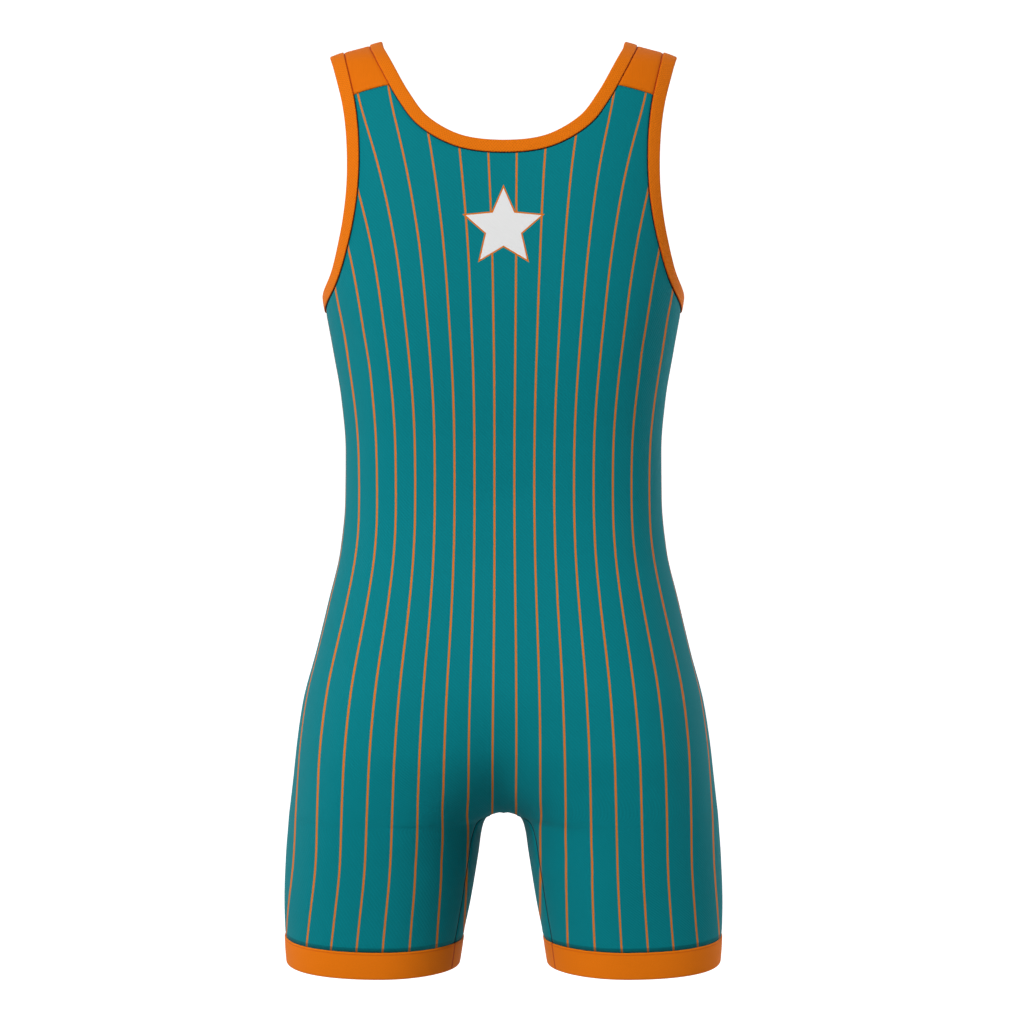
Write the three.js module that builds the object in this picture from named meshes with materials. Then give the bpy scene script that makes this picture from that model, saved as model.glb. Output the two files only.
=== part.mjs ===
// A wrestling singlet: a one-piece stretch suit with a scoop neck, cut-away armholes and short legs.
// Millimetres, +Z up. The wearer would face +Y, so the back of the garment looks along -Y.
// The origin lies midway between the tops of the two shoulder straps.
// The cloth is one smooth hollow form, given by level sections, and every piece is cut from it:
// a back and a front panel, a shoulder piece over each strap, folded bindings round the neck and
// the armholes, and a band at the bottom of each leg.

import * as THREE from 'three';

// Driving sizes
const JERSEY_WALL = 1.2;
const BINDING_WALL = 0.9;
const BINDING_WIDTH = { neck: 11.5, armhole: 13 };
const LEG_BAND_WALL = 2;
const SEAM_GAP = 0.3;
const HEM_DROP = 821;
const LEG_BAND_HEIGHT = 24;
const TURN_IN = 2;
const FOLD_ROUNDING = 1.4;

// How far the hem rises from the inner thigh to the side
const HEM_RISE = 3;

// The colour change on each strap, below the origin, at the neck side and at the armhole side
const STRAP_CHANGE = { neck: 45.5, armhole: 52.5 };

// How square the sections are: 2 is an ellipse
const SQUARENESS = 2.15;

// Half the width of cloth that joins the two legs at the crotch
const BRIDGE = 33;

const TEAL = '#0d777e';
const ORANGE = '#dc6f11';
const ROUGHNESS = 0.62;

// A row for each level section, at its drop below the origin: half the width, where the depth
// stops growing towards the middle, the depth behind and in front, and how far the crotch closes,
// from 0 at the trunk through 1 at the crotch to the gap between the legs
const SECTIONS = [
  { drop: -13, half: 85, core: 60, back: 3, front: 3, pinch: 0 },
  { drop: -6, half: 106, core: 60, back: 20, front: 19, pinch: 0 },
  { drop: 1, half: 127, core: 60, back: 36, front: 34, pinch: 0 },
  { drop: 9.5, half: 154, core: 60, back: 50, front: 47, pinch: 0 },
  { drop: 14.5, half: 163, core: 60, back: 58, front: 54, pinch: 0 },
  { drop: 21, half: 168.5, core: 60, back: 66, front: 60, pinch: 0 },
  { drop: 45, half: 174, core: 60, back: 82, front: 75, pinch: 0 },
  { drop: 90, half: 174, core: 58, back: 97, front: 91, pinch: 0 },
  { drop: 135, half: 170, core: 56, back: 106, front: 102, pinch: 0 },
  { drop: 180, half: 165.5, core: 54, back: 110, front: 109, pinch: 0 },
  { drop: 225, half: 160.5, core: 52, back: 111, front: 113, pinch: 0 },
  { drop: 270, half: 152.5, core: 50, back: 108, front: 113, pinch: 0 },
  { drop: 315, half: 145, core: 48, back: 102, front: 111, pinch: 0 },
  { drop: 360, half: 141.5, core: 47, back: 95, front: 108, pinch: 0 },
  { drop: 405, half: 141.8, core: 47, back: 92, front: 107, pinch: 0 },
  { drop: 450, half: 146, core: 50, back: 96, front: 108, pinch: 0 },
  { drop: 495, half: 156.5, core: 58, back: 107, front: 110, pinch: 0 },
  { drop: 540, half: 167.3, core: 71, back: 119, front: 111, pinch: 0.085 },
  { drop: 585, half: 179, core: 85, back: 127, front: 111, pinch: 0.29 },
  { drop: 620, half: 184.3, core: 94, back: 128, front: 110, pinch: 0.51 },
  { drop: 656, half: 188.2, core: 102, back: 123, front: 107, pinch: 0.76 },
  { drop: 676, half: 190.5, core: 106, back: 118, front: 104, pinch: 0.915 },
  { drop: 685.2, half: 191.6, core: 107.4, back: 115.2, front: 103, pinch: 1 },
  { drop: 688.6, half: 191.9, core: 107.8, back: 114.5, front: 102.6, pinch: 1.042 },
  { drop: 700, half: 192.8, core: 109, back: 112, front: 101, pinch: 1.0755 },
  { drop: 722, half: 194.5, core: 110.5, back: 107, front: 99, pinch: 1.102 },
  { drop: 765, half: 196.2, core: 114, back: 96, front: 93, pinch: 1.169 },
  { drop: 798, half: 195.2, core: 116.8, back: 89, front: 88, pinch: 1.245 },
  { drop: 821, half: 193.6, core: 118.5, back: 86, front: 86, pinch: 1.29 },
];

// The neck seam from the middle of the back over the shoulder to the middle of the front
const NECK_SEAM = [
  { x: 0, y: -101, drop: 107.6 },
  { x: 41.6, y: -99.8, drop: 101.9 },
  { x: 73.6, y: -93.8, drop: 82.9 },
  { x: 91.2, y: -84.2, drop: 59.3 },
  { x: 105.9, y: -68.2, drop: 31.7 },
  { x: 116.4, y: -41, drop: 9.5 },
  { x: 119.5, y: 0, drop: -1.5 },
  { x: 117.5, y: 40, drop: 7 },
  { x: 110.5, y: 66, drop: 35 },
  { x: 101, y: 84, drop: 74 },
  { x: 88, y: 97, drop: 116 },
  { x: 66, y: 107, drop: 158 },
  { x: 36, y: 111.5, drop: 187 },
  { x: 0, y: 112.5, drop: 199 },
];

// The armhole seam, down the back from the top of the shoulder, round the side and up the front
const ARMHOLE_SEAM = [
  { x: 143, y: 0, drop: 6 },
  { x: 139.5, y: -40, drop: 16 },
  { x: 130.3, y: -68.5, drop: 52.7 },
  { x: 124.9, y: -82, drop: 97.4 },
  { x: 126, y: -85.8, drop: 139.5 },
  { x: 133.6, y: -80, drop: 180.3 },
  { x: 147.2, y: -60.2, drop: 217.4 },
  { x: 161, y: 0, drop: 237 },
  { x: 147.5, y: 62, drop: 220 },
  { x: 131, y: 87, drop: 184 },
  { x: 123.5, y: 90, drop: 140 },
  { x: 124.5, y: 82, drop: 95 },
  { x: 132, y: 66, drop: 52.7 },
  { x: 140, y: 38, drop: 14.5 },
];

// The inseam from the middle of the crotch along the back of the inner thigh to the leg band
const INSEAM = [
  { x: 0, y: 0, drop: 685.2 },
  { x: 12, y: -20, drop: 686.2 },
  { x: 21, y: -41, drop: 689.5 },
  { x: 27.5, y: -44, drop: 702 },
  { x: 31.5, y: -44.5, drop: 724 },
  { x: 37, y: -42, drop: 760 },
  { x: 43.5, y: -37.5, drop: 797 },
];

// How finely the pieces are divided
const COLUMNS = 11;
const UNDERARM_COLUMN = 9;
const NECK_ROWS = { back: 9, front: 12 };
const CHEST_ROWS = { back: 8, front: 5 };
const TRUNK_ROWS = 13;
const SEAT_ROWS = 10;
const THIGH_ROWS = 9;
const CROTCH_CROWDING = 1.6;
const CROTCH_BEND = 0.6;
const SHOULDER_ROWS = 12;
const SHOULDER_COLUMNS = 4;
const LEG_BAND_COLUMNS = 20;
const LEG_BAND_ROWS = 2;

// How finely lines and lengths are worked out
const SEAM_SAMPLES = 480;
const MIDDLE_SAMPLES = 240;
const MIDDLE_CROWDING = 2;
const TURN_STEPS = 96;
const SETTLE_PASSES = 8;
const HALVINGS = 40;
const PROBE = 0.02;
const DIRECTION_REACH = 0.5;
const SAME_PLACE = 1e-4;

// The longest stretch of the armhole seam to search, either way from the side
const UNDERARM_SEARCH = 90;

// The share of the armhole seam, from the top of the shoulder, that is well short of the side
const SHORT_OF_SIDE = 0.25;

// Nearer the middle of the inner thigh than this share of the depth, its wall runs straight down
const STEEP_DEPTH = 0.6;

// Where the rows of the panels meet the edges, below the origin
const SEAT_DROP = 560;
const SIDE_AT_CROTCH = { back: 640, front: 670 };
const SIDE_CROWDING = { back: 1.8, front: 1 };
const NECK_LOW_AT_ARMHOLE = { back: 130, front: 207 };

const EDGE_SHIFT = SEAM_GAP / 2;
const HALF_WALL = JERSEY_WALL / 2;

// The value of one column of the sections at any drop, smooth and without overshoot
const slopes = {};
for (const name of ['half', 'core', 'back', 'front', 'pinch']) {
  const rise = [];
  for (let i = 0; i < SECTIONS.length - 1; i += 1) {
    rise.push((SECTIONS[i + 1][name] - SECTIONS[i][name]) / (SECTIONS[i + 1].drop - SECTIONS[i].drop));
  }
  slopes[name] = SECTIONS.map((row, i) => {
    if (i === 0) {
      return rise[0];
    }
    if (i === SECTIONS.length - 1) {
      return rise[i - 1];
    }
    if (rise[i - 1] * rise[i] <= 0) {
      return 0;
    }
    const above = SECTIONS[i].drop - SECTIONS[i - 1].drop;
    const below = SECTIONS[i + 1].drop - SECTIONS[i].drop;
    const near = 2 * below + above;
    const far = below + 2 * above;
    return (near + far) / (near / rise[i - 1] + far / rise[i]);
  });
}

function column(name, drop) {
  const last = SECTIONS.length - 1;
  const level = Math.min(Math.max(drop, SECTIONS[0].drop), SECTIONS[last].drop);
  let i = 0;
  while (i < last - 1 && level > SECTIONS[i + 1].drop) {
    i += 1;
  }
  const gap = SECTIONS[i + 1].drop - SECTIONS[i].drop;
  const t = (level - SECTIONS[i].drop) / gap;
  const start = (1 + 2 * t) * (1 - t) ** 2 * SECTIONS[i][name] + t * (1 - t) ** 2 * gap * slopes[name][i];
  const end = t * t * (3 - 2 * t) * SECTIONS[i + 1][name] + t * t * (t - 1) * gap * slopes[name][i + 1];
  return start + end;
}

// Below 0 inside the cloth's form, 0 on it and above 0 outside
function field(point) {
  const drop = -point.z;
  const reach = Math.hypot(point.x, BRIDGE);
  const core = column('core', drop);
  const depth = column(point.y < 0 ? 'back' : 'front', drop);
  const outer = (reach - core) / (Math.hypot(column('half', drop), BRIDGE) - core);
  const inner = column('pinch', drop) * (core - reach) / (core - BRIDGE);
  const across = reach > core ? outer : inner;
  return across ** SQUARENESS + (Math.abs(point.y) / depth) ** SQUARENESS - 1;
}

function slopeOf(point) {
  const slope = new THREE.Vector3();
  for (const axis of ['x', 'y', 'z']) {
    const ahead = point.clone();
    const behind = point.clone();
    ahead[axis] += PROBE;
    behind[axis] -= PROBE;
    slope[axis] = (field(ahead) - field(behind)) / (2 * PROBE);
  }
  return slope;
}

function outward(point) {
  return slopeOf(point).normalize();
}

// The nearest place on the cloth's form
function settle(point) {
  const settled = point.clone();
  for (let pass = 0; pass < SETTLE_PASSES; pass += 1) {
    const slope = slopeOf(settled);
    settled.addScaledVector(slope, -field(settled) / slope.lengthSq());
  }
  return settled;
}

// The distances from the middle of the body to the inner thigh, 0 above the crotch, and to the core
function innerEnds(core, pinch) {
  const nearest = core - (core - BRIDGE) / Math.max(pinch, 1);
  const innerX = Math.sqrt(Math.max(nearest ** 2 - BRIDGE ** 2, 0));
  return { innerX, coreX: Math.sqrt(core ** 2 - BRIDGE ** 2) };
}

// Half of a level section, behind or in front: from the middle, or the inner thigh, to the side.
// turn runs from 0 there through 1 at the core to 2 at the side.
function sectionPoint(side, drop, turn) {
  const core = column('core', drop);
  const depth = column(side, drop);
  let x;
  let share;
  if (turn < 1) {
    const pinch = column('pinch', drop);
    const { innerX, coreX } = innerEnds(core, pinch);
    x = innerX + (coreX - innerX) * (1 - Math.cos(turn * Math.PI / 2));
    const across = Math.min(pinch * (core - Math.hypot(x, BRIDGE)) / (core - BRIDGE), 1);
    share = (1 - across ** SQUARENESS) ** (1 / SQUARENESS);
  } else {
    const angle = (2 - turn) * Math.PI / 2;
    const reach = Math.hypot(column('half', drop), BRIDGE);
    const across = core + (reach - core) * Math.cos(angle) ** (2 / SQUARENESS);
    x = Math.sqrt(across ** 2 - BRIDGE ** 2);
    share = Math.sin(angle) ** (2 / SQUARENESS);
  }
  const y = (side === 'back' ? -depth : depth) * share;
  return new THREE.Vector3(x, y, -drop);
}

// The turn of a place on the section
function turnOf(side, point) {
  const drop = -point.z;
  const core = column('core', drop);
  const reach = Math.hypot(point.x, BRIDGE);
  const depth = Math.abs(point.y) / column(side, drop);
  if (reach >= core) {
    const across = (reach - core) / (Math.hypot(column('half', drop), BRIDGE) - core);
    const angle = Math.atan2(depth ** (SQUARENESS / 2), across ** (SQUARENESS / 2));
    return 2 - angle / (Math.PI / 2);
  }
  const pinch = column('pinch', drop);
  const { innerX, coreX } = innerEnds(core, pinch);
  let x = point.x;
  if (pinch > 1 && depth < STEEP_DEPTH) {
    const across = (1 - depth ** SQUARENESS) ** (1 / SQUARENESS);
    x = Math.sqrt((core - across * (core - BRIDGE) / pinch) ** 2 - BRIDGE ** 2);
  }
  const part = Math.min(Math.max((x - innerX) / (coreX - innerX), 0), 1);
  return Math.acos(1 - part) / (Math.PI / 2);
}

// Lengths along a half section, at even turns
function sectionLengths(side, drop) {
  const lengths = [0];
  let before = sectionPoint(side, drop, 0);
  for (let i = 1; i <= TURN_STEPS; i += 1) {
    const next = sectionPoint(side, drop, 2 * i / TURN_STEPS);
    lengths.push(lengths[i - 1] + next.distanceTo(before));
    before = next;
  }
  return lengths;
}

// The place at a share of the half section's length. A share below 0 goes round the inner thigh.
function onSection(side, drop, share) {
  if (share < 0) {
    return onSection(side === 'back' ? 'front' : 'back', drop, -share);
  }
  const lengths = sectionLengths(side, drop);
  const target = Math.min(share, 1) * lengths[TURN_STEPS];
  let i = 0;
  while (i < TURN_STEPS - 1 && lengths[i + 1] < target) {
    i += 1;
  }
  const part = (target - lengths[i]) / (lengths[i + 1] - lengths[i]);
  return sectionPoint(side, drop, 2 * (i + part) / TURN_STEPS);
}

// The share of the half section's length at a place on it
function shareOf(side, point) {
  const drop = -point.z;
  const lengths = sectionLengths(side, drop);
  const steps = turnOf(side, point) * TURN_STEPS / 2;
  const i = Math.min(Math.floor(steps), TURN_STEPS - 1);
  return (lengths[i] + (steps - i) * (lengths[i + 1] - lengths[i])) / lengths[TURN_STEPS];
}

// How far the hem has risen at a share of the half section, behind or in front
function hemRise(share) {
  return HEM_RISE * Math.max(share, 0) ** 2;
}

// A line on the cloth: its places, and how far along it each one is
function lineThrough(points) {
  const lengths = [0];
  for (let i = 1; i < points.length; i += 1) {
    lengths.push(lengths[i - 1] + points[i].distanceTo(points[i - 1]));
  }
  return { points, lengths, length: lengths[lengths.length - 1] };
}

function alongLine(line, distance) {
  let i = 0;
  while (i < line.points.length - 2 && line.lengths[i + 1] < distance) {
    i += 1;
  }
  const part = (distance - line.lengths[i]) / (line.lengths[i + 1] - line.lengths[i]);
  return settle(line.points[i].clone().lerp(line.points[i + 1], part));
}

// How far along a line it passes a level, behind or in front, in order
function passings(line, side, drop) {
  const distances = [];
  for (let i = 1; i < line.points.length; i += 1) {
    const before = -line.points[i - 1].z - drop;
    const after = -line.points[i].z - drop;
    const behind = line.points[i].y < 0;
    if (before * after <= 0 && behind === (side === 'back')) {
      const part = before / (before - after);
      distances.push(line.lengths[i - 1] + (line.lengths[i] - line.lengths[i - 1]) * part);
    }
  }
  return distances;
}

function distanceAtDrop(line, side, drop) {
  return passings(line, side, drop)[0];
}

// How far along the armhole seam it passes the side of the body
function distanceAtSide() {
  const { points, lengths } = armholeLine;
  const past = points.findIndex((point, i) => i > points.length * SHORT_OF_SIDE && point.y >= 0);
  const part = -points[past - 1].y / (points[past].y - points[past - 1].y);
  return lengths[past - 1] + (lengths[past] - lengths[past - 1]) * part;
}

// How far along the armhole seam it comes to a share of the section, under the arm
function distanceAtShare(side, share) {
  const atSide = distanceAtSide();
  const sign = side === 'back' ? -1 : 1;
  let near = 0;
  let far = UNDERARM_SEARCH;
  for (let pass = 0; pass < HALVINGS; pass += 1) {
    const middle = (near + far) / 2;
    const place = alongLine(armholeLine, atSide + sign * middle);
    if (shareOf(side, place) > share) {
      near = middle;
    } else {
      far = middle;
    }
  }
  return atSide + sign * near;
}

// A smooth curve through the rows, settled on the cloth
function seamLine(rows, closed) {
  const places = rows.map((row) => new THREE.Vector3(row.x, row.y, -row.drop));
  const curve = new THREE.CatmullRomCurve3(places, closed);
  return curve.getSpacedPoints(SEAM_SAMPLES).map(settle);
}

function mirrored(rows) {
  return rows.map((row) => ({ ...row, x: -row.x }));
}

// The neck seam on the right half, from the middle of the back to the middle of the front
const neckLoop = seamLine([...NECK_SEAM, ...mirrored(NECK_SEAM.slice(1, -1)).reverse()], true);
const neckLine = lineThrough(neckLoop.slice(0, SEAM_SAMPLES / 2 + 1));

// The right armhole seam, from the top of the shoulder down the back and up the front
const armholeLine = lineThrough(seamLine(ARMHOLE_SEAM, true));

// The right inseam, from the middle of the crotch to the leg band
const crossing = seamLine([...mirrored(INSEAM.slice(1)).reverse(), ...INSEAM], false);
const inseamLine = lineThrough(crossing.slice(SEAM_SAMPLES / 2));

// The direction in the cloth that is square to a line, to its left as seen from outside
function squareTo(line, distance) {
  const from = alongLine(line, Math.max(distance - DIRECTION_REACH, 0));
  const to = alongLine(line, Math.min(distance + DIRECTION_REACH, line.length));
  const middle = alongLine(line, distance);
  return outward(middle).cross(to.sub(from)).normalize();
}

// A station on a bound edge: the place on the seam line, and the raw edge inside the fold.
// The opening lies to the left of the line. At a corner of a panel the edge stays in one plane:
// across is the axis that it doesn't move along.
function edgeStation(line, distance, across) {
  const width = line === neckLine ? BINDING_WIDTH.neck : BINDING_WIDTH.armhole;
  const seam = alongLine(line, distance);
  const away = squareTo(line, distance);
  if (across) {
    away[across] = 0;
    away.normalize();
  }
  const raw = settle(seam.clone().addScaledVector(away, width - TURN_IN));
  if (across) {
    raw[across] = seam[across];
  }
  return { seam, raw, seamOut: outward(seam), rawOut: outward(raw), width };
}

// Even distances from one end of a stretch to the other
function evenly(from, to, count) {
  return Array.from({ length: count + 1 }, (unused, i) => from + (to - from) * i / count);
}

// A thin sheet of points and faces, closed into a solid by its wall
class Sheet {
  constructor() {
    this.points = [];
    this.normals = [];
    this.faces = [];
    this.places = new Map();
  }

  vertex(point) {
    const key = point.toArray().map((value) => Math.round(value / SAME_PLACE)).join();
    if (!this.places.has(key)) {
      this.places.set(key, this.points.length);
      this.points.push(point);
      this.normals.push(outward(point));
    }
    return this.places.get(key);
  }

  face(a, b, c) {
    if (a === b || b === c || c === a) {
      return;
    }
    const edge = this.points[b].clone().sub(this.points[a]);
    const facing = edge.cross(this.points[c].clone().sub(this.points[a]));
    const normal = this.normals[a].clone().add(this.normals[b]).add(this.normals[c]);
    this.faces.push(facing.dot(normal) > 0 ? [a, b, c] : [a, c, b]);
  }

  // A patch of rows of points, each row as long as the next
  patch(rows) {
    const ids = rows.map((row) => row.map((point) => this.vertex(point)));
    for (let i = 0; i < ids.length - 1; i += 1) {
      for (let j = 0; j < ids[i].length - 1; j += 1) {
        this.face(ids[i][j], ids[i + 1][j], ids[i + 1][j + 1]);
        this.face(ids[i][j], ids[i + 1][j + 1], ids[i][j + 1]);
      }
    }
  }

  // The patch and its mirror image on the other side of the body
  pair(rows) {
    this.patch(rows);
    this.patch(rows.map((row) => row.map((point) => point.clone().setX(-point.x))));
  }

  solid(halfWall) {
    const count = this.points.length;
    const shifted = (by) => this.points.map((point, i) => {
      return point.clone().addScaledVector(this.normals[i], by);
    });
    const vertices = [...shifted(halfWall), ...shifted(-halfWall)];
    const triangles = [];
    const open = new Map();
    for (const [a, b, c] of this.faces) {
      triangles.push(a, b, c, count + c, count + b, count + a);
      for (const [from, to] of [[a, b], [b, c], [c, a]]) {
        if (!open.delete(`${to},${from}`)) {
          open.set(`${from},${to}`, [from, to]);
        }
      }
    }
    for (const [from, to] of open.values()) {
      triangles.push(to, from, count + from, to, count + from, count + to);
    }
    return geometryOf(vertices, triangles);
  }
}

function geometryOf(vertices, triangles) {
  const geometry = new THREE.BufferGeometry();
  const positions = vertices.flatMap((vertex) => vertex.toArray());
  geometry.setAttribute('position', new THREE.Float32BufferAttribute(positions, 3));
  geometry.setIndex(triangles);
  geometry.computeVertexNormals();
  return geometry;
}

// The middle line of a panel, from one level down to the crotch, as a line on the cloth
function middleLine(side, from) {
  const crotch = INSEAM[0].drop;
  const points = [];
  for (let i = 0; i <= MIDDLE_SAMPLES; i += 1) {
    const drop = crotch - (crotch - from) * (1 - i / MIDDLE_SAMPLES) ** MIDDLE_CROWDING;
    points.push(sectionPoint(side, drop, 0));
  }
  return lineThrough(points);
}

// The left and right ends of each row of a half panel, and the stations where an edge is bound
function panelRows(side) {
  const sign = side === 'back' ? -1 : 1;
  const neckStart = distanceAtDrop(neckLine, side, STRAP_CHANGE.neck) + sign * EDGE_SHIFT;
  const neckEnd = side === 'back' ? 0 : neckLine.length;
  const armStart = distanceAtDrop(armholeLine, side, STRAP_CHANGE.armhole) - sign * EDGE_SHIFT;
  const armLevel = distanceAtDrop(armholeLine, side, NECK_LOW_AT_ARMHOLE[side]);
  const armEnd = distanceAtSide() + sign * EDGE_SHIFT;

  const neck = evenly(neckStart, neckEnd, NECK_ROWS[side]).map((d, i) => {
    return edgeStation(neckLine, d, i === NECK_ROWS[side] ? 'x' : '');
  });
  neck[NECK_ROWS[side]].seam.x = 0;
  neck[NECK_ROWS[side]].raw.x = 0;
  const armLow = distanceAtShare(side, UNDERARM_COLUMN / COLUMNS);
  const upper = evenly(armStart, armLevel, NECK_ROWS[side]);
  const lower = evenly(armLevel, armLow, CHEST_ROWS[side]).slice(1);
  const under = evenly(armLow, armEnd, COLUMNS - UNDERARM_COLUMN).slice(1);
  const armhole = [...upper, ...lower, ...under].map((d) => {
    return edgeStation(armholeLine, d, d === armEnd ? 'y' : '');
  });
  const lowRow = NECK_ROWS[side] + CHEST_ROWS[side];

  const corner = -armhole[lowRow].seam.z;
  const sideCorner = -armhole[armhole.length - 1].seam.z;
  const middle = middleLine(side, -neck[neck.length - 1].seam.z);
  const middleAtCorner = distanceAtDrop(middle, side, corner);
  const middleAtSeat = distanceAtDrop(middle, side, SEAT_DROP);
  const middleStops = [
    ...evenly(0, middleAtCorner, CHEST_ROWS[side]).slice(1),
    ...evenly(middleAtCorner, middleAtSeat, TRUNK_ROWS).slice(1),
    ...evenly(middleAtSeat, middle.length - EDGE_SHIFT, SEAT_ROWS).slice(1),
  ];
  const middlePlaces = middleStops.map((d) => alongLine(middle, d).setX(0));
  const inseamPlaces = evenly(0, 1, THIGH_ROWS).slice(1).map((part) => {
    const d = inseamLine.length * part ** CROTCH_CROWDING;
    const away = squareTo(inseamLine, d).multiplyScalar(-sign * EDGE_SHIFT);
    return settle(alongLine(inseamLine, d).add(away));
  });
  const bandTop = HEM_DROP - LEG_BAND_HEIGHT - EDGE_SHIFT;
  const sideDrops = [
    ...evenly(sideCorner, SEAT_DROP, TRUNK_ROWS).slice(1),
    ...evenly(SEAT_DROP, SIDE_AT_CROTCH[side], SEAT_ROWS).slice(1),
    ...evenly(0, 1, THIGH_ROWS).slice(1).map((part) => {
      return SIDE_AT_CROTCH[side] + (bandTop - SIDE_AT_CROTCH[side]) * part ** SIDE_CROWDING[side];
    }),
  ];

  const lefts = [];
  for (const { seam } of neck) {
    lefts.push({ share: shareOf(side, seam), drop: -seam.z });
  }
  for (const place of middlePlaces) {
    lefts.push({ share: 0, drop: -place.z });
  }
  for (const place of inseamPlaces) {
    const share = shareOf('back', place);
    const drop = Math.min(-place.z, bandTop);
    lefts.push({ share: side === 'back' ? share : -share, drop });
  }
  const rights = [];
  for (const { seam } of armhole.slice(0, lowRow + 1)) {
    rights.push({ share: shareOf(side, seam), drop: -seam.z });
  }
  for (const drop of sideDrops) {
    const lengths = sectionLengths(side, drop);
    rights.push({ share: 1 - EDGE_SHIFT / lengths[TURN_STEPS], drop });
  }
  lefts[lefts.length - 1].drop = bandTop;
  return { neck, armhole, lefts, rights, lowRow };
}

// The strip of a panel inside a binding. Its faces are split the way the binding's are.
function edgeStrip(stations, seamFirst) {
  return stations.map(({ seam, raw }) => (seamFirst ? [seam, raw] : [raw, seam]));
}

function panel(side) {
  const { neck, armhole, lefts, rights, lowRow } = panelRows(side);
  const sheet = new Sheet();
  const crotchRow = lefts.length - 1 - THIGH_ROWS;
  const rows = lefts.map((left, k) => {
    const right = rights[k];
    const towardsCrotch = Math.min(Math.max((k - crotchRow + SEAT_ROWS) / SEAT_ROWS, 0), 1);
    const towardsHem = Math.max((k - crotchRow) / THIGH_ROWS, 0);
    const bend = 1 + (CROTCH_BEND - 1) * towardsCrotch;
    return evenly(0, 1, k > lowRow ? COLUMNS : UNDERARM_COLUMN).map((part) => {
      const share = left.share + (right.share - left.share) * part;
      const drop = left.drop + (right.drop - left.drop) * part ** bend;
      return onSection(side, drop - hemRise(share) * towardsHem, share);
    });
  });
  neck.forEach((station, k) => {
    rows[k][0] = station.seam;
  });
  armhole.slice(0, lowRow + 1).forEach((station, k) => {
    rows[k][UNDERARM_COLUMN] = station.seam;
  });
  sheet.pair(rows.slice(0, lowRow + 1));
  rows[lowRow].push(...armhole.slice(lowRow + 1).map((station) => station.seam));
  sheet.pair(rows.slice(lowRow));
  sheet.pair(edgeStrip(neck, side === 'front'));
  sheet.pair(edgeStrip(armhole, side === 'back'));
  return { geometry: sheet.solid(HALF_WALL), neck, armhole };
}

// The saddle of cloth over one shoulder, between the colour changes behind and in front
function shoulderPiece() {
  const neckFrom = distanceAtDrop(neckLine, 'back', STRAP_CHANGE.neck) + EDGE_SHIFT;
  const neckTo = distanceAtDrop(neckLine, 'front', STRAP_CHANGE.neck) - EDGE_SHIFT;
  const armBack = distanceAtDrop(armholeLine, 'back', STRAP_CHANGE.armhole) - EDGE_SHIFT;
  const armFront = passings(armholeLine, 'front', STRAP_CHANGE.armhole).at(-1) + EDGE_SHIFT;
  const neck = evenly(neckFrom, neckTo, SHOULDER_ROWS).map((d) => edgeStation(neckLine, d));
  const armhole = evenly(armBack, armFront - armholeLine.length, SHOULDER_ROWS).map((d) => {
    return edgeStation(armholeLine, (d + armholeLine.length) % armholeLine.length);
  });
  const sheet = new Sheet();
  const rows = neck.map((station, k) => {
    const places = evenly(0, 1, SHOULDER_COLUMNS).map((part) => {
      return settle(station.seam.clone().lerp(armhole[k].seam, part));
    });
    places[0] = station.seam;
    places[SHOULDER_COLUMNS] = armhole[k].seam;
    return places;
  });
  sheet.patch(rows);
  sheet.patch(edgeStrip(neck, true));
  sheet.patch(edgeStrip(armhole, false));
  return { geometry: sheet.solid(HALF_WALL), neck, armhole };
}

// The section of a folded binding: how far from the seam line towards the edge, and how far out
const INNER_FACE = HALF_WALL + SEAM_GAP;
const OUTER_FACE = INNER_FACE + BINDING_WALL;

function bindingSection(width) {
  const inside = width - TURN_IN + SEAM_GAP;
  return [
    { along: 0, out: INNER_FACE },
    { along: 0, out: OUTER_FACE },
    { along: width - FOLD_ROUNDING, out: OUTER_FACE },
    { along: width, out: OUTER_FACE / 2 },
    { along: width, out: -OUTER_FACE / 2 },
    { along: width - FOLD_ROUNDING, out: -OUTER_FACE },
    { along: 0, out: -OUTER_FACE },
    { along: 0, out: -INNER_FACE },
    { along: inside, out: -INNER_FACE },
    { along: inside, out: INNER_FACE },
  ];
}

// A binding folded over the edge, made from the stations of the panels that it covers.
// Each face is split from the seam at one station to the edge at the next, and the other way
// round past the station where the mirror image starts.
function binding(stations, mirrorStart = stations.length) {
  const section = bindingSection(stations[0].width);
  const vertices = [];
  for (const { seam, raw, seamOut, rawOut, width } of stations) {
    for (const { along, out } of section) {
      const part = along / (width - TURN_IN);
      const normal = seamOut.clone().lerp(rawOut, part).normalize();
      vertices.push(seam.clone().lerp(raw, part).addScaledVector(normal, out));
    }
  }
  const around = section.length;
  const triangles = [];
  for (let i = 0; i < stations.length; i += 1) {
    const next = (i + 1) % stations.length;
    for (let j = 0; j < around; j += 1) {
      const after = (j + 1) % around;
      const here = [i * around + j, i * around + after];
      const there = [next * around + j, next * around + after];
      const seamFirst = section[j].along <= section[after].along;
      if (seamFirst === i < mirrorStart) {
        triangles.push(here[0], there[0], there[1], here[0], there[1], here[1]);
      } else {
        triangles.push(here[0], there[0], here[1], here[1], there[0], there[1]);
      }
    }
  }
  return outwardFacing(geometryOf(vertices, triangles));
}

// The same solid with its faces turned so that they point out
function outwardFacing(geometry) {
  const positions = geometry.getAttribute('position');
  const index = geometry.getIndex();
  let volume = 0;
  for (let i = 0; i < index.count; i += 3) {
    const [a, b, c] = [0, 1, 2].map((k) => {
      return new THREE.Vector3().fromBufferAttribute(positions, index.getX(i + k));
    });
    volume += a.dot(b.cross(c));
  }
  if (volume < 0) {
    for (let i = 0; i < index.count; i += 3) {
      const second = index.getX(i + 1);
      index.setX(i + 1, index.getX(i + 2));
      index.setX(i + 2, second);
    }
    geometry.computeVertexNormals();
  }
  return geometry;
}

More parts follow.
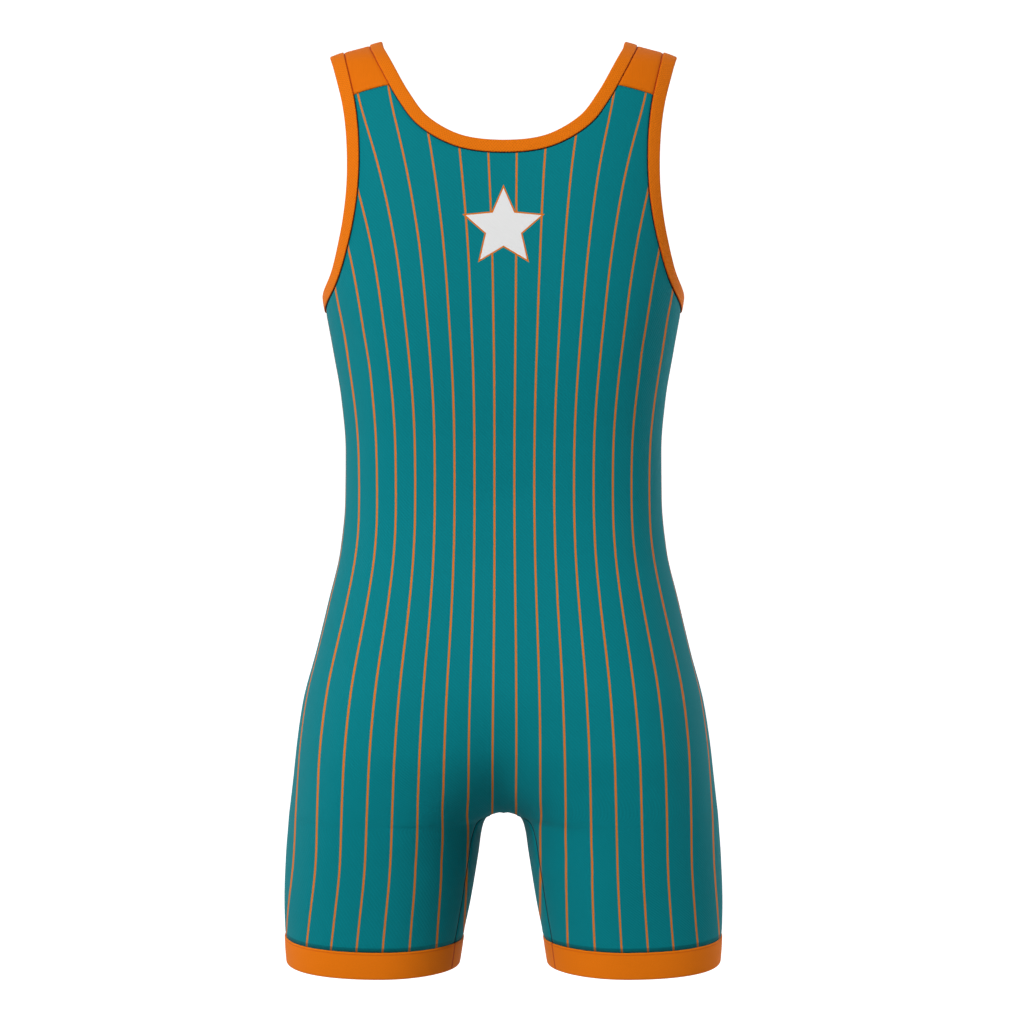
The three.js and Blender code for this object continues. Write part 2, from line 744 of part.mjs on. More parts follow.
function mirrorStation({ seam, raw, seamOut, rawOut, width }) {
  const flip = (vector) => vector.clone().setX(-vector.x);
  return { seam: flip(seam), raw: flip(raw), seamOut: flip(seamOut), rawOut: flip(rawOut), width };
}

function mirrorGeometry(geometry) {
  const copy = geometry.clone();
  copy.scale(-1, 1, 1);
  return outwardFacing(copy);
}

// The band round the bottom of the right leg
function legBand() {
  const top = HEM_DROP - LEG_BAND_HEIGHT + EDGE_SHIFT;
  const sheet = new Sheet();
  for (const side of ['back', 'front']) {
    sheet.patch(evenly(top, HEM_DROP, LEG_BAND_ROWS).map((drop) => {
      return evenly(0, 1, LEG_BAND_COLUMNS).map((share) => onSection(side, drop - hemRise(share), share));
    }));
  }
  return sheet.solid(LEG_BAND_WALL / 2);
}

function mesh(name, geometry, color) {
  const material = new THREE.MeshStandardMaterial({ color, roughness: ROUGHNESS, metalness: 0 });
  const piece = new THREE.Mesh(geometry, material);
  piece.name = name;
  return piece;
}

const back = panel('back');
const front = panel('front');
const shoulder = shoulderPiece();

// Round the right half of the neck, then back round the left half
const neckHalf = [
  ...back.neck.slice().reverse(),
  ...shoulder.neck.slice(1, -1),
  ...front.neck,
];
const neckStations = [...neckHalf, ...neckHalf.slice(1, -1).reverse().map(mirrorStation)];

// Down the back of the right armhole, round the side, and up the front
const armholeStations = [
  ...back.armhole.slice(0, -1),
  ...front.armhole.slice().reverse(),
  ...shoulder.armhole.slice(1, -1).reverse(),
];

const singlet = new THREE.Group();
singlet.add(mesh('back_panel', back.geometry, TEAL));
singlet.add(mesh('front_panel', front.geometry, TEAL));
singlet.add(mesh('shoulder_piece_right', shoulder.geometry, ORANGE));
singlet.add(mesh('shoulder_piece_left', mirrorGeometry(shoulder.geometry), ORANGE));
singlet.add(mesh('neck_binding', binding(neckStations, neckHalf.length - 1), ORANGE));
singlet.add(mesh('armhole_binding_right', binding(armholeStations), ORANGE));
singlet.add(mesh('armhole_binding_left', binding(armholeStations.map(mirrorStation)), ORANGE));
const rightBand = legBand();
singlet.add(mesh('leg_band_right', rightBand, ORANGE));
singlet.add(mesh('leg_band_left', mirrorGeometry(rightBand), ORANGE));

export default singlet;
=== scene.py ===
import math

import bpy
import numpy as np
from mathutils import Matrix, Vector
from mathutils.kdtree import KDTree


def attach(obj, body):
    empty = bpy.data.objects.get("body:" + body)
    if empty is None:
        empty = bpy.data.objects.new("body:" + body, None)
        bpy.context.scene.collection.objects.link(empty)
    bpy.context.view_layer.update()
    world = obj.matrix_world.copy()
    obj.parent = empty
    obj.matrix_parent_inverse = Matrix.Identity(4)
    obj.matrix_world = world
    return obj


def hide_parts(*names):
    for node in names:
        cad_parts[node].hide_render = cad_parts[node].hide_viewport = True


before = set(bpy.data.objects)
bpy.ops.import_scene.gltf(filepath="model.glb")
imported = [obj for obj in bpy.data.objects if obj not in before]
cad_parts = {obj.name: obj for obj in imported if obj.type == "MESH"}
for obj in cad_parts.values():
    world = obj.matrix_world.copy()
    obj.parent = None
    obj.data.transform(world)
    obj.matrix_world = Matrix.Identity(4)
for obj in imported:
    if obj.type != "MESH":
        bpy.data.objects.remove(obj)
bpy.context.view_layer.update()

# The garment's form is worked out in millimetres, with the origin between the tops of the straps and
# Z up. The back looks along -Y. A drop is a distance below the origin. Seams and folds are worked out
# for the right half and mirrored.
METRES = 0.001
MIRROR = np.array([-1, 1, 1])

JERSEY_WALL = 1.0
HEM_DROP = 821.0
LEG_BAND_HEIGHT = 24.0
HEM_RISE = 3.0
BINDING_WIDTH = {"neck": 11.5, "armhole": 13.0}
# How far the raw edge stays short of the fold of its binding
TURN_IN = 2.0
# The drops at which the shoulder pieces meet the panels
STRAP_CHANGE = {"neck": 45.5, "armhole": 52.5}
# The power of the sections' rounded corners, and the half width over which the legs run together
SQUARENESS = 2.15
BRIDGE = 33.0

# Level sections: drop, half width, core, depth behind, depth in front, how far the crotch closes
SECTIONS = np.array([
    (-13, 85, 60, 3, 3, 0),
    (-6, 106, 60, 20, 19, 0),
    (1, 127, 60, 36, 34, 0),
    (9.5, 154, 60, 50, 47, 0),
    (14.5, 163, 60, 58, 54, 0),
    (21, 168.5, 60, 66, 60, 0),
    (45, 174, 60, 82, 75, 0),
    (90, 174, 58, 97, 91, 0),
    (135, 170, 56, 106, 102, 0),
    (180, 165.5, 54, 110, 109, 0),
    (225, 160.5, 52, 111, 113, 0),
    (270, 152.5, 50, 108, 113, 0),
    (315, 145, 48, 102, 111, 0),
    (360, 141.5, 47, 95, 108, 0),
    (405, 141.8, 47, 92, 107, 0),
    (450, 146, 50, 96, 108, 0),
    (495, 156.5, 58, 107, 110, 0),
    (540, 167.3, 71, 119, 111, 0.085),
    (585, 179, 85, 127, 111, 0.29),
    (620, 184.3, 94, 128, 110, 0.51),
    (656, 188.2, 102, 122.4, 107, 0.76),
    (676, 190.5, 106, 118, 104, 0.915),
    (685.2, 191.6, 107.4, 115.8, 103, 1),
    (688.6, 191.9, 107.8, 115, 102.6, 1.042),
    (700, 192.8, 109, 112.3, 101, 1.0755),
    (722, 194.5, 110.5, 107, 99, 1.102),
    (765, 196.2, 114, 96, 93, 1.169),
    (798, 195.2, 116.8, 89, 88, 1.245),
    (821, 193.6, 118.5, 86, 86, 1.29),
])
COLUMN = {"half": 1, "core": 2, "back": 3, "front": 4, "pinch": 5}

# Seam lines on the right half: x, y, drop
NECK_SEAM = np.array([
    (0, -101, 107.6), (41.6, -99.8, 101.9), (73.6, -93.8, 82.9), (91.2, -84.2, 59.3),
    (105.9, -68.2, 31.7), (116.4, -41, 9.5), (119.5, 0, -1.5), (117.5, 40, 7), (110.5, 66, 35),
    (101, 84, 74), (88, 97, 116), (66, 107, 158), (36, 111.5, 187), (0, 112.5, 199),
])
ARMHOLE_SEAM = np.array([
    (143, 0, 6), (139.5, -40, 16), (130.3, -68.5, 52.7), (124.9, -82, 97.4), (126, -85.8, 139.5),
    (133.6, -80, 180.3), (147.2, -60.2, 217.4), (161, 0, 237), (147.5, 62, 220), (131, 87, 184),
    (123.5, 90, 140), (124.5, 82, 95), (132, 66, 52.7), (140, 38, 14.5),
])
INSEAM = np.array([
    (0, 0, 685.2), (12, -20, 686.2), (21, -41, 689.5), (27.5, -44, 702), (31.5, -44.5, 724),
    (37, -42, 760), (43.5, -37.5, 797),
])

# Pinstripes: the spacing at each drop, and how far their middle lies to the right of the body's
STRIPE_SPACING = np.array([
    (40, 28.7), (62, 27.3), (87, 25.7), (109, 24.2), (144, 22.4), (184, 20.75), (218, 19.7), (252, 18.9),
    (286, 18.1), (320, 17.5), (354, 17.2), (388, 17.15), (423, 17.2), (457, 17.5), (491, 18.0),
    (525, 18.7), (558, 19.4), (592, 20.0), (626, 20.5), (660, 20.9), (695, 21.3), (730, 21.7),
    (766, 22.5), (821, 23.6),
])
STRIPE_MIDDLE = np.array([
    (50, -1.6), (114, -0.8), (184, 0.6), (290, 1.0), (388, 0.7), (525, 1.2), (720, 0.4), (785, -1.2),
])
# How fast the pinstripes part towards the sides, by drop
STRIPE_SPREAD = np.array([
    (300, 0), (352, -0.0002), (448, -0.0003), (482, 0.0001), (520, 0.0004), (560, 0.0007),
    (620, 0.0006), (690, 0.0002), (720, 0), (754, -0.0001), (785, -0.0003),
])
# The slowest that their count runs along the cloth, where that turns away at the side and the inner thigh
STRIPE_TURN = {"outer": 0.35, "inner": 0.12}
# Below the first of these slants across, the side counts faster, and from the last on it counts in full
STRIPE_SIDE = (0.22, 0.06)
STRIPE_REACH = 8
STRIPE_WIDTH = 1.55
STRIPE_SOFTNESS = 0.45

# How finely the pieces are divided
COLUMNS = 66
UNDERARM_COLUMN = 54
CURVE_SAMPLES = 40
NECK_ROWS = {"back": 40, "front": 46}
CHEST_ROWS = {"back": 34, "front": 22}
TRUNK_ROWS = 80
SEAT_ROWS = 46
THIGH_ROWS = 54
CROTCH_CROWDING = 1.6
CROTCH_BEND = 0.6
SEAT_DROP = 560.0
SIDE_AT_CROTCH = {"back": 640.0, "front": 670.0}
SIDE_CROWDING = {"back": 1.8, "front": 1.0}
NECK_LOW_AT_ARMHOLE = {"back": 130.0, "front": 207.0}
TURN_STEPS = 96


# The form of the cloth

DROPS = SECTIONS[:, 0]
SLOPE_STEP = 0.02
SETTLE_ROUNDS = 8
TINY = 1e-12


def monotone_slopes(values):
    """Slopes at the sections for a smooth curve through values that never overshoots them."""
    rise = np.diff(values) / np.diff(DROPS)
    step = np.diff(DROPS)
    slopes = np.zeros(len(values))
    slopes[0], slopes[-1] = rise[0], rise[-1]
    for i in range(1, len(values) - 1):
        if rise[i - 1] * rise[i] > 0:
            near = 2 * step[i] + step[i - 1]
            far = step[i] + 2 * step[i - 1]
            slopes[i] = (near + far) / (near / rise[i - 1] + far / rise[i])
    return slopes


SLOPES = {name: monotone_slopes(SECTIONS[:, k]) for name, k in COLUMN.items()}


def column(name, drop):
    """A column of the section table at any drop."""
    values = SECTIONS[:, COLUMN[name]]
    slopes = SLOPES[name]
    level = np.clip(drop, DROPS[0], DROPS[-1])
    i = np.clip(np.searchsorted(DROPS, level) - 1, 0, len(DROPS) - 2)
    gap = DROPS[i + 1] - DROPS[i]
    t = (level - DROPS[i]) / gap
    start = (1 + 2 * t) * (1 - t) ** 2 * values[i] + t * (1 - t) ** 2 * gap * slopes[i]
    end = t * t * (3 - 2 * t) * values[i + 1] + t * t * (t - 1) * gap * slopes[i + 1]
    return start + end


def field(p):
    """Zero on the form, less than zero inside it and more outside."""
    drop = -p[..., 2]
    reach = np.hypot(p[..., 0], BRIDGE)
    core = column("core", drop)
    depth = np.where(p[..., 1] < 0, column("back", drop), column("front", drop))
    outer = (reach - core) / (np.hypot(column("half", drop), BRIDGE) - core)
    inner = column("pinch", drop) * (core - reach) / (core - BRIDGE)
    across = np.where(reach > core, outer, inner)
    return across ** SQUARENESS + (np.abs(p[..., 1]) / depth) ** SQUARENESS - 1


def slope_of(p):
    slope = np.zeros_like(p)
    for axis in range(3):
        step = np.zeros(3)
        step[axis] = SLOPE_STEP
        slope[..., axis] = (field(p + step) - field(p - step)) / (2 * SLOPE_STEP)
    return slope


def unit(v):
    return v / np.maximum(np.linalg.norm(v, axis=-1, keepdims=True), TINY)


def outward(p):
    return unit(slope_of(p))


def settle(p):
    """The places moved straight onto the form."""
    p = np.array(p, float)
    for _ in range(SETTLE_ROUNDS):
        slope = slope_of(p)
        p = p - slope * (field(p) / np.maximum((slope ** 2).sum(-1), TINY))[..., None]
    return p


def section_points(side, drop, turn):
    """Places on half a level section: turn 0 in the middle or at the inner thigh, 1 at the core and
    2 at the side."""
    drop, turn = np.broadcast_arrays(np.asarray(drop, float), np.asarray(turn, float))
    core = column("core", drop)
    depth = column(side, drop)
    pinch = column("pinch", drop)
    core_x = np.sqrt(core ** 2 - BRIDGE ** 2)
    nearest = core - (core - BRIDGE) / np.maximum(pinch, 1)
    inner_x = np.sqrt(np.maximum(nearest ** 2 - BRIDGE ** 2, 0))
    x_in = inner_x + (core_x - inner_x) * (1 - np.cos(np.minimum(turn, 1) * math.pi / 2))
    across_in = np.clip(pinch * (core - np.hypot(x_in, BRIDGE)) / (core - BRIDGE), 0, 1)
    share_in = (1 - across_in ** SQUARENESS) ** (1 / SQUARENESS)
    angle = (2 - np.maximum(turn, 1)) * math.pi / 2
    reach = np.hypot(column("half", drop), BRIDGE)
    across_out = core + (reach - core) * np.maximum(np.cos(angle), 0) ** (2 / SQUARENESS)
    x_out = np.sqrt(across_out ** 2 - BRIDGE ** 2)
    share_out = np.sin(angle) ** (2 / SQUARENESS)
    inside = turn < 1
    x = np.where(inside, x_in, x_out)
    share = np.where(inside, share_in, share_out)
    y = (-depth if side == "back" else depth) * share
    return np.stack([x, y, -drop], -1)


# Nearer to the middle of the depth than this share of it, the inner thigh's turn is told by depth
INNER_THIGH_DEPTH = 0.6


def turn_of(side, p):
    """The turn at places on the form."""
    drop = -p[..., 2]
    core = column("core", drop)
    reach = np.hypot(p[..., 0], BRIDGE)
    depth = np.abs(p[..., 1]) / column(side, drop)
    across = np.maximum(reach - core, 0) / (np.hypot(column("half", drop), BRIDGE) - core)
    outer = 2 - np.arctan2(depth ** (SQUARENESS / 2), across ** (SQUARENESS / 2)) / (math.pi / 2)
    pinch = column("pinch", drop)
    nearest = core - (core - BRIDGE) / np.maximum(pinch, 1)
    inner_x = np.sqrt(np.maximum(nearest ** 2 - BRIDGE ** 2, 0))
    core_x = np.sqrt(core ** 2 - BRIDGE ** 2)
    across_y = (1 - np.minimum(depth, 1) ** SQUARENESS) ** (1 / SQUARENESS)
    thigh_reach = core - across_y * (core - BRIDGE) / np.maximum(pinch, 1e-6)
    thigh_x = np.sqrt(np.maximum(thigh_reach ** 2 - BRIDGE ** 2, 0))
    x = np.where((pinch > 1) & (depth < INNER_THIGH_DEPTH), thigh_x, p[..., 0])
    part = np.clip((x - inner_x) / (core_x - inner_x), 0, 1)
    return np.where(reach >= core, outer, np.arccos(1 - part) / (math.pi / 2))


def section_lengths(side, drop):
    drop = np.atleast_1d(np.asarray(drop, float))
    turns = np.linspace(0, 2, TURN_STEPS + 1)
    points = section_points(side, drop[:, None], turns[None, :])
    steps = np.linalg.norm(np.diff(points, axis=1), axis=2)
    lengths = np.concatenate([np.zeros((len(drop), 1)), np.cumsum(steps, 1)], 1)
    return points, lengths


def rounded(rows, drop, reach=16, deepest=900):
    """The rows' values at drops, with the corners between the straight parts rounded off."""
    steps = np.arange(-3 * reach, 3 * reach + 1)
    weights = np.exp(-0.5 * (steps / reach) ** 2)
    values = np.interp(np.arange(steps[0], deepest + steps[-1]), rows[:, 0], rows[:, 1])
    return np.interp(drop, np.arange(deepest), np.convolve(values, weights / weights.sum(), "valid"))


def stripe_numbers(points, lengths):
    """The pinstripe coordinate at each turn of sections: level in the middle, and along the cloth at
    the sides."""
    drop = -points[:, 0, 2]
    spacing = rounded(STRIPE_SPACING, drop)[:, None]
    core = TURN_STEPS // 2
    across = np.abs(np.diff(points[..., 0], axis=1))
    steps = np.diff(lengths, axis=1)
    slant = across / np.maximum(steps, TINY)
    sideways = np.clip((STRIPE_SIDE[0] - slant) / (STRIPE_SIDE[0] - STRIPE_SIDE[1]), 0, 1)
    outer = STRIPE_TURN["outer"] + (1 - STRIPE_TURN["outer"]) * sideways
    turn = np.where(np.arange(TURN_STEPS) < core, STRIPE_TURN["inner"], outer)
    ahead = np.maximum(across, turn * steps)
    count = np.concatenate([np.zeros((len(drop), 1)), np.cumsum(ahead, 1)], 1)
    number = (points[:, core:core + 1, 0] + count - count[:, core:core + 1]) / spacing
    return number - rounded(STRIPE_SPREAD, drop)[:, None] * np.minimum(number, STRIPE_REACH) ** 3


def on_section(side, drop, share):
    """Places at shares of the half sections' lengths, with the length there and the stripe coordinate."""
    drop, share = np.broadcast_arrays(np.asarray(drop, float), np.asarray(share, float))
    shape = drop.shape
    drop, share = drop.ravel(), share.ravel()
    place = np.zeros((len(drop), 3))
    along = np.zeros(len(drop))
    stripe = np.zeros(len(drop))
    other = "front" if side == "back" else "back"
    for name, chosen in ((side, share >= 0), (other, share < 0)):
        if not chosen.any():
            continue
        points, lengths = section_lengths(name, drop[chosen])
        numbers = stripe_numbers(points, lengths)
        total = lengths[:, -1]
        target = np.minimum(np.abs(share[chosen]), 1) * total
        i = np.clip((lengths < target[:, None]).sum(1) - 1, 0, TURN_STEPS - 1)
        row = np.arange(len(i))
        part = (target - lengths[row, i]) / (lengths[row, i + 1] - lengths[row, i])
        place[chosen] = section_points(name, drop[chosen], 2 * (i + part) / TURN_STEPS)
        number = numbers[row, i] + part * (numbers[row, i + 1] - numbers[row, i])
        along[chosen] = target if name == side else -target
        stripe[chosen] = number
    return place.reshape(shape + (3,)), along.reshape(shape), stripe.reshape(shape)


def hem_rise(share):
    """How much higher the hem is towards the side."""
    return HEM_RISE * np.maximum(share, 0) ** 2


def share_of(side, p):
    """The share of the half section's length at places on the form."""
    p = np.atleast_2d(p)
    lengths = section_lengths(side, -p[:, 2])[1]
    steps = turn_of(side, p) * TURN_STEPS / 2
    i = np.clip(np.floor(steps).astype(int), 0, TURN_STEPS - 1)
    row = np.arange(len(i))
    return (lengths[row, i] + (steps - i) * (lengths[row, i + 1] - lengths[row, i])) / lengths[:, -1]


# Lines on the cloth

class Line:
    """A line on the form, with places told by their distance along it."""

    def __init__(self, points):
        self.points = points
        steps = np.linalg.norm(np.diff(points, axis=0), axis=1)
        self.lengths = np.concatenate([[0], np.cumsum(steps)])
        self.length = self.lengths[-1]

    def at(self, distance):
        distance = np.atleast_1d(np.asarray(distance, float))
        raw = np.stack([np.interp(distance, self.lengths, self.points[:, k]) for k in range(3)], -1)
        return settle(raw)

    def crossing(self, side, drop, last=False):
        """The distance at which the line first or last crosses a drop on that side."""
        level = -self.points[:, 2] - drop
        behind = self.points[1:, 1] < 0
        hits = np.nonzero((level[:-1] * level[1:] <= 0) & (behind == (side == "back")))[0]
        i = hits[-1] if last else hits[0]
        start, end = self.lengths[i], self.lengths[i + 1]
        return start + (end - start) * level[i] / (level[i] - level[i + 1])


def smooth_curve(rows, closed):
    """A centripetal curve through the rows."""
    p = np.array([(x, y, -drop) for x, y, drop in rows], float)
    n = len(p)
    out = []
    for i in range(n if closed else n - 1):
        p1, p2 = p[i], p[(i + 1) % n]
        p0 = p[i - 1] if closed or i > 0 else 2 * p[0] - p[1]
        p3 = p[(i + 2) % n] if closed or i + 2 < n else 2 * p[-1] - p[-2]
        d0, d1, d2 = (np.sum((b - a) ** 2) ** 0.25 for a, b in ((p0, p1), (p1, p2), (p2, p3)))
        t1 = ((p1 - p0) / d0 - (p2 - p0) / (d0 + d1) + (p2 - p1) / d1) * d1
        t2 = ((p2 - p1) / d1 - (p3 - p1) / (d1 + d2) + (p3 - p2) / d2) * d1
        squared = -3 * p1 + 3 * p2 - 2 * t1 - t2
        cubed = 2 * p1 - 2 * p2 + t1 + t2
        for t in np.arange(CURVE_SAMPLES) / CURVE_SAMPLES:
            out.append(p1 + t1 * t + squared * t ** 2 + cubed * t ** 3)
    out.append(p[0] if closed else p[-1])
    return settle(np.array(out))


neck_loop = smooth_curve(np.concatenate([NECK_SEAM, (NECK_SEAM[1:-1] * MIRROR)[::-1]]), True)
neck_line = Line(neck_loop[:(len(NECK_SEAM) - 1) * CURVE_SAMPLES + 1])
armhole_line = Line(smooth_curve(ARMHOLE_SEAM, True))
crossing_line = smooth_curve(np.concatenate([(INSEAM[1:] * MIRROR)[::-1], INSEAM]), False)
inseam_line = Line(crossing_line[(len(INSEAM) - 1) * CURVE_SAMPLES:])


def distance_at_side():
    """The distance along the armhole at which it reaches the side seam."""
    y = armhole_line.points[:, 1]
    quarter = len(y) // 4
    past = quarter + int(np.nonzero(y[quarter:] >= 0)[0][0])
    part = -y[past - 1] / (y[past] - y[past - 1])
    lengths = armhole_line.lengths
    return lengths[past - 1] + (lengths[past] - lengths[past - 1]) * part


ARM_SIDE = distance_at_side()


HALVINGS = 40
FARTHEST_FROM_SIDE = 90.0


def distance_at_share(side, share):
    """The distance along the armhole at which it reaches a share of the half section."""
    sign = -1 if side == "back" else 1
    near, far = 0.0, FARTHEST_FROM_SIDE
    for _ in range(HALVINGS):
        middle = (near + far) / 2
        place = armhole_line.at(ARM_SIDE + sign * middle)
        if share_of(side, place)[0] > share:
            near = middle
        else:
            far = middle
    return ARM_SIDE + sign * near


def stations(line, distances, flat=()):
    """Places on a seam line and on the raw edge inside the fold, with the directions out of the cloth.
    flat has the rows that stay in a plane, each with the axis across it."""
    distances = np.asarray(distances, float)
    width = BINDING_WIDTH["neck" if line is neck_line else "armhole"]
    seam = line.at(distances)
    after = line.at(np.minimum(distances + 0.5, line.length))
    before = line.at(np.maximum(distances - 0.5, 0))
    away = unit(np.cross(outward(seam), after - before))
    for row, axis in flat:
        away[row, axis] = 0
        away[row] = unit(away[row])
    raw = settle(seam + away * (width - TURN_IN))
    for row, axis in flat:
        raw[row, axis] = seam[row, axis]
    return {"seam": seam, "raw": raw, "seam_out": outward(seam), "raw_out": outward(raw), "width": width}


PLACE_KEYS = ("seam", "raw", "seam_out", "raw_out")


def joined(*runs):
    """Several runs of stations as one."""
    return {**runs[0], **{key: np.concatenate([run[key] for run in runs]) for key in PLACE_KEYS}}


def picked(run, rows):
    return {**run, **{key: run[key][rows] for key in PLACE_KEYS}}


def reverse(run):
    return picked(run, slice(None, None, -1))


def flipped(run):
    return {**run, **{key: run[key] * MIRROR for key in PLACE_KEYS}}


# Soft creases

# Each runs between two places and has a width and a height, all in millimetres
CREASES = [
    # From the crotch up and out across the seat
    ((14, -62, -690), (92, -118, -640), 11, -1.5),
    ((-16, -62, -690), (-78, -120, -652), 12, -1.7),
    ((34, -60, -716), (104, -104, -704), 10, -1.1),
    ((-32, -60, -720), (-98, -100, -712), 11, -1.0),
    ((8, -80, -676), (40, -124, -610), 12, 0.9),
    ((-6, -82, -672), (-44, -124, -600), 13, 0.8),
    # Under the seat, level across the thigh
    ((60, -104, -722), (150, -72, -708), 14, -1.2),
    ((-66, -102, -726), (-152, -70, -702), 15, -1.4),
    # From the crotch up and out in front
    ((14, 60, -688), (84, 102, -634), 11, -1.5),
    ((-12, 60, -690), (-92, 98, -644), 12, -1.4),
    ((30, 62, -712), (108, 88, -706), 10, -0.9),
    ((-34, 62, -714), (-100, 90, -696), 11, -1.2),
    ((4, 84, -672), (-26, 108, -600), 13, 0.8),
    # The small of the back and the waist
    ((-30, -96, -404), (34, -95, -398), 16, -0.9),
    ((62, -84, -418), (128, -40, -440), 12, -0.8),
    ((-56, -86, -424), (-130, -36, -436), 12, -0.9),
    ((70, 96, -396), (132, 46, -422), 13, -0.9),
    ((-64, 98, -404), (-134, 40, -416), 12, -0.7),
    # Under the arms
    ((146, -52, -236), (104, -92, -300), 12, -0.9),
    ((-146, -52, -238), (-110, -88, -312), 13, -1.0),
    ((144, 56, -236), (106, 96, -296), 13, -0.8),
    ((-145, 54, -238), (-102, 98, -304), 12, -0.9),
    # Down from the chest in front
    ((40, 110, -300), (24, 108, -380), 18, 0.7),
    ((-34, 111, -292), (-30, 108, -390), 20, 0.6),
]


def relief(p):
    """How far the cloth stands out of its plain form, in millimetres."""
    p = p.reshape(-1, 3)
    height = np.zeros(len(p))
    for start, end, width, crease_height in CREASES:
        start = np.array(start, float)
        ahead = np.array(end, float) - start
        t = np.clip(((p - start) @ ahead) / (ahead @ ahead), 0, 1)
        away = np.linalg.norm(p - (start + t[:, None] * ahead), axis=1)
        fade = np.sin(t * math.pi) * 0.75 + 0.25
        height += crease_height * fade * np.exp(-(away / width) ** 2)
    # A slight unevenness all over
    x, y, z = p.T
    height += 0.22 * np.sin(x / 23 + z / 61 + 0.6) * np.sin(z / 47 - y / 39)
    height += 0.16 * np.sin(x / 15 - z / 88 + 1.9) * np.sin(z / 71 + y / 27 + 0.4)
    return height


# Meshes

def make_object(name, vertices, faces, maps, material, flat_from=None):
    """vertices are in millimetres, maps are UV layers by face corner, and faces from flat_from on are
    flat shaded."""
    mesh = bpy.data.meshes.new(name)
    mesh.from_pydata((vertices * METRES).tolist(), [], [list(map(int, face)) for face in faces])
    mesh.update()
    smooth = np.ones(len(faces), bool)
    if flat_from is not None:
        smooth[flat_from:] = False
    mesh.polygons.foreach_set("use_smooth", smooth)
    for layer, values in maps.items():
        uv = mesh.uv_layers.new(name=layer)
        uv.data.foreach_set("uv", values.astype(np.float32).ravel())
    mesh.materials.append(material)
    piece = bpy.data.objects.new(name, mesh)
    bpy.context.scene.collection.objects.link(piece)
    return piece


# Map columns: stripe number, stripe spacing, millimetres across and along the cloth, distance from
# the nearest bound seam, distance from the join with the leg band
LAYERS = {"Stripes": [0, 1], "Cloth": [2, 3], "Edges": [4, 5]}
FAR = 60.0
# The stripe spacing that marks the inside of the cloth, which carries no print
UNPRINTED = 10000.0


def cell_corners(grid):
    """The values at the four corners of each cell of a grid."""
    return np.stack([grid[:-1, :-1], grid[1:, :-1], grid[1:, 1:], grid[:-1, 1:]], 2)


class Sheet:
    """Rows of places on the cloth with their maps, closed into a thin shell."""

    def __init__(self):
        self.points, self.maps, self.faces, self.count = [], [], [], 0

    def patch(self, points, maps):
        rows, cols = points.shape[:2]
        ids = np.arange(rows * cols).reshape(rows, cols) + self.count
        self.faces.append(cell_corners(ids).reshape(-1, 4))
        self.points.append(points.reshape(-1, 3))
        self.maps.append(maps.reshape(rows * cols, -1))
        self.count += rows * cols

    def outward_faces(self, faces, points, normals):
        """The faces without repeated corners, turned outwards."""
        turned = []
        for face in faces:
            corners = list(dict.fromkeys(face.tolist()))
            if len(corners) < 3:
                continue
            a, b, c = points[corners[:3]]
            facing = np.cross(b - a, c - a)
            if len(corners) == 4:
                facing = facing + np.cross(c - a, points[corners[3]] - a)
            if facing @ normals[corners].sum(0) < 0:
                corners = corners[::-1]
            turned.append(corners)
        return turned

    def shell(self, name, material, groove):
        """The sheet as a closed shell; groove gives the height that the maps add."""
        points = np.concatenate(self.points)
        maps = np.concatenate(self.maps)
        # Places that patches share become one
        keys = np.round(points * 1e3).astype(np.int64)
        _, first, inverse = np.unique(keys, axis=0, return_index=True, return_inverse=True)
        points, maps = points[first], maps[first]
        normals = outward(points)
        faces = self.outward_faces(inverse.ravel()[np.concatenate(self.faces)], points, normals)
        middle = points + normals * (relief(points) + groove(maps))[:, None]
        # The open edges are those that one face alone has
        edges = {}
        for corners in faces:
            for a, b in zip(corners, corners[1:] + corners[:1]):
                if (b, a) in edges:
                    del edges[(b, a)]
                else:
                    edges[(a, b)] = True
        count = len(points)
        faces += [[count + v for v in reversed(corners)] for corners in faces]
        flat_from = len(faces)
        faces += [[b, a, count + a, count + b] for a, b in edges]
        vertices = np.concatenate([middle + normals * JERSEY_WALL / 2, middle - normals * JERSEY_WALL / 2])
        inside = maps.copy()
        inside[:, 1] = UNPRINTED
        by_corner = np.concatenate([maps, inside])[np.concatenate(faces)]
        layers = {layer: by_corner[:, columns] for layer, columns in LAYERS.items()}
        return make_object(name, vertices, faces, layers, material, flat_from)


def tube(name, vertices, maps, material):
    """A closed ring with a closed section. A map's two values cover the corners, with the first place
    along the ring and round the section repeated at the end."""
    count, around = vertices.shape[:2]
    ids = np.pad(np.arange(count * around).reshape(count, around), ((0, 1), (0, 1)), mode="wrap")
    faces = cell_corners(ids).reshape(-1, 4)
    flat = vertices.reshape(-1, 3)
    a, b, c, d = (flat[faces[:, k]] for k in range(4))
    volume = (a * np.cross(b, c)).sum() + (a * np.cross(c, d)).sum()
    order = -1 if volume < 0 else 1
    layers = {}
    for layer, pair in maps.items():
        corners = [cell_corners(np.broadcast_to(values, ids.shape)).reshape(-1, 4) for values in pair]
        layers[layer] = np.stack(corners, -1)[:, ::order]
    return make_object(name, flat, faces[:, ::order], layers, material)


def ring_lengths(line):
    """The distance along a closed line of places, and back to its start."""
    steps = np.linalg.norm(np.diff(line, axis=0, append=line[:1]), axis=1)
    return np.concatenate([[0], np.cumsum(steps)])


# Materials

def linear(*levels):
    """A colour for Blender from its levels out of 255 as shown."""
    def one(level):
        share = level / 255
        return share / 12.92 if share <= 0.04045 else ((share + 0.055) / 1.055) ** 2.4
    return tuple(one(level) for level in levels) + (1,)


def shade(color, factor):
    return tuple(value * factor for value in color[:3]) + (1,)


